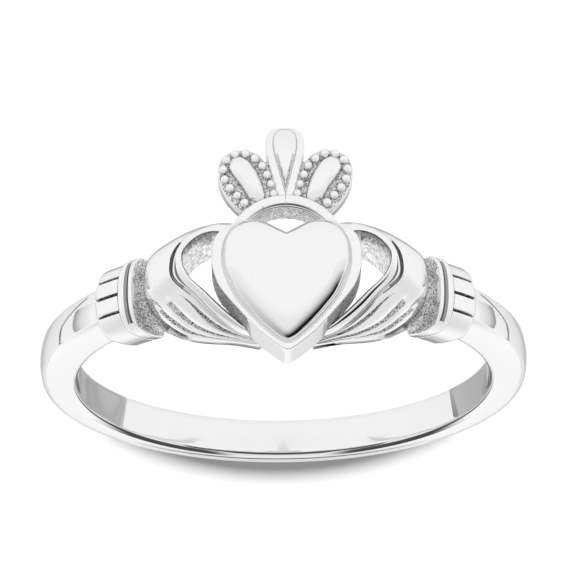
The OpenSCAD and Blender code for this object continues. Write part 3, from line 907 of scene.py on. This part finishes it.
# %% The heart's outlines
RIM_HALF = [(0, 1.49), (.45, 1.72), (.9, 1.93), (1.45, 2.0), (1.95, 1.89), (2.39, 1.67),
            (2.7, 1.42), (2.86, 1.11), (2.93, .68), (2.93, .17), (2.84, -.3), (2.63, -.82),
            (2.3, -1.28), (1.92, -1.75), (1.45, -2.3), (1.08, -2.7), (.69, -3.04), (.34, -3.31),
            (.12, -3.45), (0, -3.478)]
DOME_HALF = [(0, 1.36), (.48, 1.63), (.95, 1.88), (1.46, 1.94), (1.86, 1.8), (2.2, 1.52),
             (2.42, 1.13), (2.5, .68), (2.49, .2), (2.33, -.4), (1.98, -1.15), (1.5, -1.78),
             (1.1, -2.23), (.75, -2.58), (.38, -2.9), (.12, -3.05), (0, -3.08)]
HALF_POINTS = 90


def whole_outline(half, count=HALF_POINTS):
    """Both halves of an outline, anticlockwise as seen from the front."""
    line = smooth_line(half, count)
    line[0, 0] = line[-1, 0] = 0.0
    other = line[1:-1] * [-1, 1]
    return np.vstack([line, other[::-1]])[::-1]


print("the heart is", 2 * max(x for x, z in RIM_HALF), "mm wide")

# %% Heart
# The raised heart's middle, and how deep it is set into the rim
DOME_MIDDLE, DOME_SET = np.array([0.0, 0.05]), 0.07
# The rise of the rolled edge and of the whole raised heart, and the edge's share of the way in
EDGE_RISE, TOP_RISE, EDGE_SHARE = 0.53, 0.63, 0.4
RIM_SOFT = 0.04
# The side wall is sandy, in painted shade, up to this far under the rim, and polished below this height
# in z
SAND_BELOW_RIM, TIP_TOP = 0.12, -2.2


def soft_corner(outline, face, soft):
    """Rings that round the corner between a plate's side and its face."""
    return [at_level(drawn_in(outline, soft * (1 - math.cos(t))), face - soft * (1 - math.sin(t)))
            for t in np.linspace(0.25, 1, 4) * math.pi / 2]


def heart_mesh():
    """The plate with its rim, then the raised heart, whose outline grows softer as it rises."""
    rim = whole_outline(RIM_HALF)
    dome = whole_outline(DOME_HALF)
    weight = np.exp(-np.linspace(-3, 3, 41) ** 2 / 2)
    weight /= weight.sum()
    padded = np.vstack([dome[-20:], dome, dome[:20]])
    softer = np.stack([np.convolve(padded[:, k], weight, "valid") for k in range(2)], 1)
    rings = [at_level(drawn_in(rim, RIM_SOFT), HEART_BACK), at_level(rim, HEART_BACK + RIM_SOFT)]
    rings += [at_level(rim, v) for v in np.linspace(HEART_BACK + 0.3, HEART_FACE - RIM_SOFT, 6)]
    rings += soft_corner(rim, HEART_FACE, RIM_SOFT)
    inner = drawn_in(rim, RIM_SOFT)
    for t in (0.35, 0.7, 0.9, 1.0):
        rings.append(at_level(inner + (dome - inner) * t, HEART_FACE - DOME_SET * t * t))
    over_edge = 1 - EDGE_SHARE * (1 - np.cos(np.linspace(0.2, math.pi / 2, 20)))
    over_top = np.linspace(1 - EDGE_SHARE, 0.03, 24)[1:]
    for s in np.concatenate([over_edge, over_top]):
        k = ease(0.0, 0.5, 1 - s)
        outline = DOME_MIDDLE + (dome * (1 - k) + softer * k - DOME_MIDDLE) * s
        out = np.clip((s - 1 + EDGE_SHARE) / EDGE_SHARE, 0, 1)
        rolled = EDGE_RISE * math.sqrt(max(0.0, 1 - out ** 2.6))
        rise = rolled + (TOP_RISE - EDGE_RISE) * (1 - s * s) - DOME_SET * out * out
        rings.append(at_level(outline, HEART_FACE + rise))
    return loft(rings)


def heart_kind(points, face):
    """A face's finish: 0 polished, 1 the sandy side wall between the hands, in painted shade, 2 the
    brushed back.
    """
    middle = middle_of(points, face)
    level = -middle[1]
    if level < HEART_BACK + 0.03:
        return 2
    return 1 if level < HEART_FACE - SAND_BELOW_RIM and middle[2] >= TIP_TOP else 0


points, faces = heart_mesh()
hand_in(make_piece("heart", points, faces, [POLISHED, PAINTED_SHADE_SAND, BRUSHED],
                   [heart_kind(points, f) for f in faces], crease=38))

# %% [markdown]
# ## The crown
#
# A curved strip over the heart carries three petals. The strip has a thin second step along its
# lower edge. The side petals are plates with a smooth leaf, and the middle petal holds a drop
# with its point down. A sandy ground joins the feet. An extruded outline would give each plate
# hard edges, so outlines are lofted here too, with a few rings round each edge.

# %% Crown strip
# The caster's seam at the middle of the strip, and a small nick on each side of it, in degrees
ARCH_SEAMS = (63.4, 90.0, 116.6)


def arch_mesh():
    """The strip's profile carried round an arc, with close sections at the seams."""
    outer, face, back = 2.38, ARCH_FACE, ARCH_BACK
    profile = [(outer - 0.04, back), (outer, back + 0.04), (outer, face - 0.06),
               (outer - 0.02, face - 0.02), (outer - 0.06, face), (2.1, face), (2.05, face),
               (2.01, face - 0.02), (1.99, face - 0.06), (1.99, face - 0.16),
               (1.98, face - 0.17), (1.95, face - 0.17), (1.93, face - 0.2), (1.92, face - 0.25),
               (1.94, back + 0.04), (1.98, back)]
    clear = [t for t in np.linspace(15, 165, 121) if min(abs(t - a) for a in ARCH_SEAMS) > 0.7]
    beside = [a + step for a in ARCH_SEAMS for step in (-0.6, 0.6)]
    rings = [np.array([(r * math.cos(a), -v, ARCH_MID + r * math.sin(a)) for r, v in profile])
             for a in np.radians(sorted(clear + beside))]
    points, faces = loft(rings)
    kinds = []
    for one_face in faces:
        middle = middle_of(points, one_face)
        r = math.hypot(middle[0], middle[2] - ARCH_MID)
        turn = math.degrees(math.atan2(middle[2] - ARCH_MID, middle[0]))
        under = r < 1.965 and -middle[1] < face - 0.24
        seam = abs(turn - 90) < 0.5
        tick = r < 2.1 and min(abs(turn - a) for a in ARCH_SEAMS) < 0.5
        kinds.append(1 if under or seam or tick else 0)
    return points, faces, kinds


points, faces, kinds = arch_mesh()
hand_in(make_piece("crown_strip", points, faces, [POLISHED, SANDED], kinds, crease=50))


# %% Tools for petals and leaves
# How deep a leaf is sunk in its plate, how far its root goes on below, and the leaves' tops
LEAF_SUNK, LEAF_ROOT = 0.02, 0.1
DROP_TOP, SIDE_LEAF_TOP = 10.99, 10.93


def plate(outline, back, face, soft):
    """A flat plate with softened edges."""
    rings = [at_level(drawn_in(outline, soft / 2), back), at_level(outline, back + soft / 2),
             at_level(outline, face - soft)]
    rings += soft_corner(outline, face, soft)
    inner = drawn_in(outline, soft)
    middle = inner.mean(axis=0)
    rings += [at_level(middle + (inner - middle) * s, face) for s in (0.85, 0.6, 0.3)]
    return loft(rings)


def pillow(outline, top, steep):
    """A smooth leaf on the crown's face: steep at its edge and full in the middle."""
    base = CROWN_FACE - LEAF_SUNK
    middle = outline.mean(axis=0)
    rings = [at_level(outline, base - LEAF_ROOT), at_level(outline, base)]
    for s in np.cos(np.linspace(0.15, math.pi / 2 - 0.06, 16)):
        rise = (top - base) * (1 - s ** 2.2) ** steep
        rings.append(at_level(middle + (outline - middle) * s, base + rise))
    return loft(rings)


print("leaves rise", round(DROP_TOP - CROWN_FACE, 2), "and", round(SIDE_LEAF_TOP - CROWN_FACE, 2), "mm")

# %% Petals, leaves and ground
SIDE_PLATE = [(1.75, 2.62), (1.9, 2.74), (2.08, 2.92), (2.38, 3.31), (2.6, 3.78), (2.68, 4.26),
              (2.63, 4.72), (2.42, 5.06), (2.03, 5.24), (1.63, 5.29), (1.23, 5.19), (.93, 4.96),
              (.72, 4.6), (.55, 4.1), (.42, 3.6), (.38, 3.05), (.8, 2.85), (1.3, 2.65)]
SIDE_LEAF = [(1.12, 3.0), (1.44, 3.12), (1.66, 3.45), (1.84, 3.74), (2.06, 4.06), (2.19, 4.29),
             (2.26, 4.5), (2.21, 4.74), (2.08, 4.92), (1.87, 4.99), (1.68, 4.95), (1.44, 4.78),
             (1.17, 4.42), (1, 4.07), (.87, 3.7), (.8, 3.34), (.84, 3.12)]
MIDDLE_PLATE = [(.76, 5.2), (.76, 5.75), (.66, 6.05), (.4, 6.23), (0, 6.29), (-.4, 6.23),
                (-.66, 6.05), (-.76, 5.75), (-.76, 5.2), (-.62, 4.4), (-.36, 3.3), (0, 3.1),
                (.36, 3.3), (.62, 4.4)]
DROP_HALF = [(0, 6.2), (.2, 6.17), (.38, 6.04), (.48, 5.79), (.49, 5.42), (.42, 4.99),
             (.28, 4.41), (.15, 3.9), (0, 3.3)]
GROUND = [(.84, 4.75), (-.84, 4.75), (-1.3, 2.9), (-.7, 2.95), (0, 3.05), (.7, 2.95), (1.3, 2.9)]

points, faces = plate(smooth_line(MIDDLE_PLATE, 120, closed=True), CROWN_BACK, CROWN_FACE, 0.14)
hand_in(make_piece("middle_petal", points, faces, [POLISHED], crease=50))

points, faces = pillow(whole_outline(DROP_HALF, 50), DROP_TOP, 0.6)
hand_in(make_piece("middle_drop", points, faces, [ROUNDED], crease=50))

points, faces = plate(smooth_line(GROUND, 100, closed=True), CROWN_BACK + 0.06,
                      CROWN_FACE - 0.1, 0.03)
hand_in(make_piece("crown_ground", points, faces, [SANDED], crease=50))

for side, flip in SIDES.items():
    points, faces = plate(smooth_line(SIDE_PLATE, 140, closed=True), CROWN_BACK, CROWN_FACE, 0.07)
    kinds = [1 if -middle_of(points, f)[1] > CROWN_FACE - 0.01 else 0 for f in faces]
    hand_in(make_piece("side_petal_" + side, points * flip, faces, [POLISHED, SANDED], kinds,
                       crease=50))
    points, faces = pillow(smooth_line(SIDE_LEAF, 90, closed=True), SIDE_LEAF_TOP, 0.45)
    hand_in(make_piece("side_leaf_" + side, points * flip, faces, [ROUNDED], crease=50))

# %% [markdown]
# ## The beads
#
# Thirteen small beads run round each side petal. On a cast ring they are one shape pressed many
# times, a little uneven from the polishing. An array modifier spaces its copies evenly only on a
# straight line, so a node group sets instances of one bead along the petal's line, each with a
# size drawn from a fixed seed, and makes them real at the end.

# %% Beads
BEAD_LINE = [(1.63, 2.97), (1.93, 3.31), (2.2, 3.62), (2.4, 3.99), (2.46, 4.38), (2.35, 4.78),
             (2.04, 5.04), (1.61, 5.1), (1.22, 4.89), (.93, 4.59), (.75, 4.2), (.58, 3.78),
             (.47, 3.36)]


def bead_group():
    """Sets beads at even steps along a line, each a little different in size."""
    tree, e, leave = new_tree(
        "bead_row", "GeometryNodeTree",
        {"Geometry": GEOMETRY, "Count": 13, "Diameter": 0.36, "Unevenness": 0.06, "Seed": 3,
         "Material": MATERIAL}, {"Geometry": GEOMETRY})
    line = put(tree, "GeometryNodeResampleCurve", {"mode": "COUNT"}, {
        "Curve": e["Geometry"], "Count": e["Count"]})
    spots = put(tree, "GeometryNodeCurveToPoints", {"mode": "EVALUATED"}, {
        "Curve": line.outputs[0]})
    ball = put(tree, "GeometryNodeMeshUVSphere", {}, {
        "Segments": 20, "Rings": 14, "Radius": calc(tree, "DIVIDE", e["Diameter"], 2.0)})
    size = put(tree, "FunctionNodeRandomValue", {"data_type": "FLOAT"}, {
        2: calc(tree, "SUBTRACT", 1.0, e["Unevenness"]), 3: calc(tree, "ADD", 1.0, e["Unevenness"]),
        "Seed": e["Seed"]})
    beads = put(tree, "GeometryNodeInstanceOnPoints", {}, {
        "Points": spots.outputs[0], "Instance": ball.outputs[0], "Scale": size.outputs[1]})
    tree.links.new(coated(tree, beads.outputs[0], e["Material"]), leave["Geometry"])
    return tree


BEADS = bead_group()
FIRST_SEED = 3
for order, (side, flip) in enumerate(SIDES.items()):
    line = bpy.data.curves.new("bead_line_" + side, "CURVE")
    line.dimensions = "3D"
    spline = line.splines.new("POLY")
    spots = smooth_line(BEAD_LINE, 80)
    spline.points.add(len(spots) - 1)
    for spot, (x, z) in zip(spline.points, spots):
        spot.co = (flip[0] * x, -(CROWN_FACE + 0.05), z, 1.0)
    hand_in(run_tree("beads_" + side, line, BEADS, {
        "Count": len(BEAD_LINE), "Diameter": 0.375, "Unevenness": 0.05,
        "Seed": FIRST_SEED + order, "Material": ROUNDED}, crease=80))
print(len(finished), "pieces on the ring")

# %% [markdown]
# ## The floor
#
# The ring lies on a plain floor. A white floor would swallow the soft shadow, so its own colour is
# a grey, which the strong lamp turns to the white of the photograph. It has no gloss.

# %% Floor
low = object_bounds()[0]
bpy.ops.mesh.primitive_plane_add(size=3.0, location=(0, 0, low[2]))
floor = bpy.context.object
floor.name = "floor"
floor_material = bpy.data.materials.new("white_floor")
floor_material.use_nodes = True
floor_shader = floor_material.node_tree.nodes["Principled BSDF"]
floor_shader.inputs["Base Color"].default_value = grey(0.3)
floor_shader.inputs["Roughness"].default_value = 0.5
floor_shader.inputs["Specular IOR Level"].default_value = 0.0
floor.data.materials.append(floor_material)
print("floor at", round(low[2], 6))

# %% [markdown]
# ## The light
#
# White metal is photographed in a white tent. It is bright on all sides, brightest behind the
# ring and a little less bright overhead and far out at the sides. The world's background does
# this, with a strength that changes softly with the direction. Area lamps could do it too, but
# they show as patches in a mirror.
#
# One low, wide lamp on the camera's side throws the soft shadow away from the camera, which the
# turned picture shows under the band. Mirrors don't see the lamp.

# %% Sky
SKY_LOW, SKY_HIGH, SKY_SIDE, SKY_BACK = 1.1, 0.95, 0.9, 1.15
world = bpy.data.worlds.new("studio")
bpy.context.scene.world = world
world.use_nodes = True
tree = world.node_tree
direction = put(tree, "ShaderNodeTexCoord")
axes = put(tree, "ShaderNodeSeparateXYZ", {}, {0: direction.outputs["Generated"]})
height = soft_step(tree, axes.outputs[2], 0.05, 0.75, SKY_LOW, SKY_HIGH)
aside = soft_step(tree, calc(tree, "ABSOLUTE", axes.outputs[0]), 0.45, 0.95, 0.0, 1.0 - SKY_SIDE)
aloft = soft_step(tree, axes.outputs[2], 0.02, 0.4)
sideways = calc(tree, "SUBTRACT", 1.0, calc(tree, "MULTIPLY", aside, aloft))
behind = soft_step(tree, axes.outputs[1], 0.3, 0.9, 1.0, SKY_BACK)
sky = tree.nodes["Background"]
sky.inputs["Color"].default_value = (1, 1, 1, 1)
tree.links.new(calc(tree, "MULTIPLY", calc(tree, "MULTIPLY", height, sideways), behind),
               sky.inputs["Strength"])
print("sky strength", SKY_LOW, "low down,", SKY_HIGH, "overhead")

# %% Lamp
LAMP_HEIGHT, LAMP_WIDTH, LAMP_STRENGTH = math.radians(26.7), math.radians(12), 18.87
lamp_data = bpy.data.lights.new("lamp", "SUN")
lamp_data.angle = LAMP_WIDTH
lamp_data.energy = LAMP_STRENGTH
lamp = bpy.data.objects.new("lamp", lamp_data)
lamp.rotation_mode = "QUATERNION"
from_lamp = Vector((0.0, math.cos(LAMP_HEIGHT), -math.sin(LAMP_HEIGHT)))
lamp.rotation_quaternion = from_lamp.to_track_quat("-Z", "Y")
lamp.visible_glossy = False
bpy.context.scene.collection.objects.link(lamp)
print("lamp", round(math.degrees(LAMP_HEIGHT), 1), "degrees high")


# %% Shadow flag
def unseen_sheet(name, points, faces, materials=()):
    """A sheet of the studio that neither the camera nor the soft light sees."""
    thing = bpy.data.objects.new(name, new_mesh(name, points, faces, materials))
    bpy.context.scene.collection.objects.link(thing)
    thing.visible_camera = False
    thing.visible_diffuse = False
    return thing


# Only this flag, which stands inside the back of the band, holds back the lamp. So the shadow
# lies under the back of the band, as in the photograph, and nowhere else.
FLAG_R, FLAG_HALF, FLAG_COLUMNS = 9.6, 0.95, 41
turns = np.radians(np.linspace(-54, 54, FLAG_COLUMNS))
flag_points = [(FLAG_R * math.sin(a), FLAG_R * math.cos(a), z * (0.1 + 0.9 * math.cos(1.66 * a)))
               for z in (-FLAG_HALF, FLAG_HALF) for a in turns]
flag = unseen_sheet("shadow_flag", flag_points,
                    [(k, k + 1, k + FLAG_COLUMNS + 1, k + FLAG_COLUMNS)
                     for k in range(FLAG_COLUMNS - 1)])
flag.data.transform(LAY_DOWN)
flag.visible_glossy = False
flags = bpy.data.collections.new("flags")
flags.objects.link(flag)
lamp.light_linking.blocker_collection = flags

# %% [markdown]
# ## Cards for the mirror
#
# Polished metal shows only what stands round it, and in an even white tent it would look flat.
# So a jeweller's photographer sets grey and black cards close by, just outside the picture. Here
# only mirrors see the cards, so they may stand closer, and they belong to the studio and not to
# the ring. Each is a glowing sheet: its points hold a shade, from 0 for black to 1 for white.

# %% Tools for cards
def shaded_sheet(name, points, columns, shades, one_sided=False):
    """A glowing sheet of rows of points, each point with its own shade."""
    count = len(points) // columns
    faces = [(r * columns + k, r * columns + k + 1, (r + 1) * columns + k + 1,
              (r + 1) * columns + k) for r in range(count - 1) for k in range(columns - 1)]
    material = bpy.data.materials.new(name)
    material.use_nodes = True
    tree = material.node_tree
    tree.nodes.remove(tree.nodes["Principled BSDF"])
    shade = put(tree, "ShaderNodeAttribute", {"attribute_name": "shade"})
    surface = put(tree, "ShaderNodeEmission", {}, {"Strength": shade.outputs["Fac"]})
    if one_sided:
        seen = put(tree, "ShaderNodeNewGeometry")
        clear = put(tree, "ShaderNodeBsdfTransparent")
        surface = put(tree, "ShaderNodeMixShader", {}, {
            0: seen.outputs["Backfacing"], 1: surface.outputs[0], 2: clear.outputs[0]})
    tree.links.new(surface.outputs[0], tree.nodes["Material Output"].inputs["Surface"])
    sheet = unseen_sheet(name, points, faces, [material])
    sheet.visible_shadow = False
    sheet.data.attributes.new("shade", "FLOAT", "POINT").data.foreach_set("value", shades)
    print(name, len(faces), "faces")


def upright_sheet(name, rows, shades):
    """A one-sided sheet given by rows of upright points in millimetres, laid down as the ring."""
    points = [LAY_DOWN @ Vector(p) for row in rows for p in row]
    shaded_sheet(name, points, len(rows[0]), shades, one_sided=True)


ON_FLOOR = low[2] + 0.05 * MM
print("cards on the floor lie at", round(ON_FLOOR, 6))


# %% Streaks on the floor
def floor_streak(name, middle, rows):
    """Grey sheets on the floor along a line, left and right. rows are offsets and shades."""
    line = smooth_line(middle, 60)
    ahead = np.gradient(line, axis=0)
    ahead /= np.linalg.norm(ahead, axis=1, keepdims=True)
    aside = np.stack([-ahead[:, 1], ahead[:, 0]], 1)
    wide = np.linalg.norm(line, axis=1, keepdims=True) / np.linalg.norm(line[0])
    for side in (1, -1):
        points, shades = [], []
        for offset, shade in rows:
            for x, y in line + aside * wide * offset:
                points.append((side * x * MM, y * MM, ON_FLOOR))
                shades.append(shade)
        shaded_sheet(name, points, len(line), shades)


floor_streak("streak_thin", [(12.8, -5), (14.5, -1.8), (18, 1), (23, 4.5), (60, 30), (300, 190)],
             [(-0.25, 1.0), (-0.12, 0.25), (0.12, 0.25), (0.25, 1.0)])
floor_streak("streak_wide", [(15, -3.4), (20, -1.5), (26, 0.8), (60, 13), (300, 100)],
             [(-3.0, 1.05), (-1.2, 0.85), (0.0, 0.35), (0.08, 1.0)])

# %% Cards in the finger hole
# Two low cards stand in the finger hole, face the head and run on over the floor before them.
# The inside of the band shows them at its two ends. A stop is a place in x and its shade. The
# lip is the far top corner, which shows as a dark bar at the picture's right end.
CARD_STOPS = {
    1: [(3.0, 0.66), (4.6, 0.66), (5.0, 0.62), (5.3, 0.6), (5.5, 0.5), (5.8, 0.56), (6.1, 0.5),
        (6.4, 0.66), (6.7, 0.72), (7.3, 0.74)],
    -1: [(3.0, 0.72), (4.4, 0.7), (5.0, 0.6), (5.6, 0.56), (6.2, 0.58), (6.8, 0.62),
         (6.84, 0.7), (7.6, 0.74)]}
CARD_TOP = {1: 5.24, -1: 4.51}
CARD_LIP = {1: 0.74, -1: 0.3}
LIP_FROM = 6.8
for side, stops in CARD_STOPS.items():
    top, points, shades = CARD_TOP[side], [], []
    rows = ((1.0, ON_FLOOR, 8.6), (top - 0.3, ON_FLOOR, 7.3), (top, -0.7 * MM, 7.6))
    for y, z, last in rows[::side]:
        for x, shade in stops[:-1] + [(last, stops[-1][1])]:
            points.append((side * x * MM, y * MM, z))
            shades.append(CARD_LIP[side] if y == top and x > LIP_FROM else shade)
    shaded_sheet("hole_card", points, len(stops), shades, one_sided=True)


# %% Card beside the heart
# A low wall stands beside the raised heart: dark at its foot, light at its top. The heart's
# rolled edge shows it as a soft dark crescent at the lower right, and a faint one at the left.
around = whole_outline(DOME_HALF)[::-1]
# The wall's rows as a rise above the heart's rim and a shade
WALL_STEPS = [(-1.6, 0.0), (0.3, 0.02), (0.8, 0.15), (1.2, 0.33), (1.6, 0.48), (2.1, 0.64),
              (2.9, 0.8), (3.6, 0.9), (5.2, 1.01)]
# The wall follows these points of the outline. It is this far out, and lighter by this share.
picked = range(38, 138)
wall_far = np.interp(picked, [38, 50, 70, 89, 110, 138], [1.9, 2.1, 2.7, 3.0, 3.0, 2.2])
lighter = np.interp(picked, [38, 42, 46, 50, 89, 93, 116, 137],
                    [1.0, 0.85, 0.35, 0.0, 0.0, 0.45, 0.7, 1.0])
foot_line = np.array([drawn_in(around, d)[k] for k, d in zip(picked, wall_far)])
rows, shades = [], []
for rise, shade in WALL_STEPS:
    level = 11.45 + np.maximum(rise, -0.3 - (wall_far - 1.9)) * wall_far / 3
    rows.append([(x, -v, z) for (x, z), v in zip(foot_line, level)])
    shades += [shade + (1.03 - shade) * k for k in lighter]
upright_sheet("heart_wall", rows, shades)

# %% Strips over the band
# A dark strip hangs over the finger hole. The rounded inner edge of the band shows it as a line.
turns = np.radians(np.linspace(-88, 88, 61))
STRIP_STEPS = [(-0.3, 0.7), (0.1, 0.35), (0.7, 0.08), (1.5, 0.02), (2.7, 0.15), (3.9, 0.5),
               (5.5, 0.95)]
upright_sheet("hole_strip",
              [[(4 * math.sin(a), 4 * math.cos(a), -BAND_W / 2 - rise) for a in turns]
               for rise, shade in STRIP_STEPS],
              [shade for rise, shade in STRIP_STEPS for a in turns])

# On each side a dark strip hangs close over the band. It widens the line to a double one there.
# Its rows are given as a radius and a shade.
BAND_STRIP = [(6.2, 0.9), (6.8, 0.08), (10.0, 0.08), (10.3, 0.9)]
for side in (1, -1):
    turns = np.radians(np.linspace(10, 52, 30)) * side
    rows, shades = [], []
    for r, shade in BAND_STRIP[::side]:
        rows.append([(r * math.sin(a), r * math.cos(a), -BAND_W / 2 - 1.2) for a in turns])
        shades += [1.0 + (shade - 1.0) * ease(10, 18, k) * (1 - ease(40, 52, k))
                   for k in np.degrees(np.abs(turns))]
    upright_sheet("band_strip", rows, shades)

# A soft grey card behind the back of the band, with a thin dark line in it, tones the side of
# the band and draws the fine line beside the first one.
BACK_WIDE, BACK_COLUMNS, BACK_Y, BACK_EDGE = 7, 15, 14, 1.25
xs = np.linspace(-BACK_WIDE, BACK_WIDE, BACK_COLUMNS)
steps = [(-2.6, BACK_EDGE), (-1.9, 1.02), (-0.84, 0.98), (-0.66, 0.05), (-0.4, 0.05), (-0.22, 0.98),
         (0.3, 1.05), (1.2, 1.2)]
shaded_sheet("back_strip", [(x * MM, BACK_Y * MM, z * MM) for z, shade in steps for x in xs],
             BACK_COLUMNS, [BACK_EDGE + (shade - BACK_EDGE) * (1 - abs(x / BACK_WIDE) ** 3)
                            for z, shade in steps for x in xs])

# %% [markdown]
# ## The camera
#
# The photograph was taken from far off with a long lens, 69 degrees from the finger hole's axis.
# The camera keeps that angle to the ring. The ring lies with its crown down, so the camera is
# turned over with it and the picture still shows the crown up. Its place could be set by eye,
# but it is worked out here from the ring's own directions and from the pixel that the middle of
# the finger hole falls on.

# %% Camera
VIEW_FROM = math.radians(69.13)
VIEW_YAW = math.radians(0.95)
VIEW_ROLL = math.radians(0.74)
VIEW_FAR = 150.0
PIXELS, PIXELS_PER_MM = 565, 23.826
RING_PIXEL = (283.42, 368.34)

across = Vector((math.cos(VIEW_YAW), -math.sin(VIEW_YAW), 0))
upward = Vector((-math.sin(VIEW_YAW) * math.cos(VIEW_FROM),
                 -math.cos(VIEW_YAW) * math.cos(VIEW_FROM), math.sin(VIEW_FROM)))
to_camera = across.cross(upward)
image_x = across * math.cos(VIEW_ROLL) - upward * math.sin(VIEW_ROLL)
image_y = across * math.sin(VIEW_ROLL) + upward * math.cos(VIEW_ROLL)
focal_pixels = PIXELS_PER_MM * VIEW_FAR
look_up = math.atan((RING_PIXEL[1] - PIXELS / 2) / focal_pixels)
look_left = math.atan((RING_PIXEL[0] - PIXELS / 2) / focal_pixels)
turn = Matrix((image_x, image_y, to_camera)).transposed().to_4x4()
turn = turn @ Matrix.Rotation(look_left, 4, "Y") @ Matrix.Rotation(look_up, 4, "X")
camera_data = bpy.data.cameras.new("camera")
camera_data.lens = focal_pixels / PIXELS * camera_data.sensor_width
camera_data.clip_start = 0.005
camera_data.clip_end = 20
camera = bpy.data.objects.new("camera", camera_data)
bpy.context.scene.collection.objects.link(camera)
camera.matrix_world = (LAY_TURN @ Matrix.Translation(to_camera * VIEW_FAR * MM)) @ turn
bpy.context.scene.camera = camera

bpy.context.scene.view_settings.view_transform = "Standard"
print("camera at", [round(v, 4) for v in camera.matrix_world.translation])
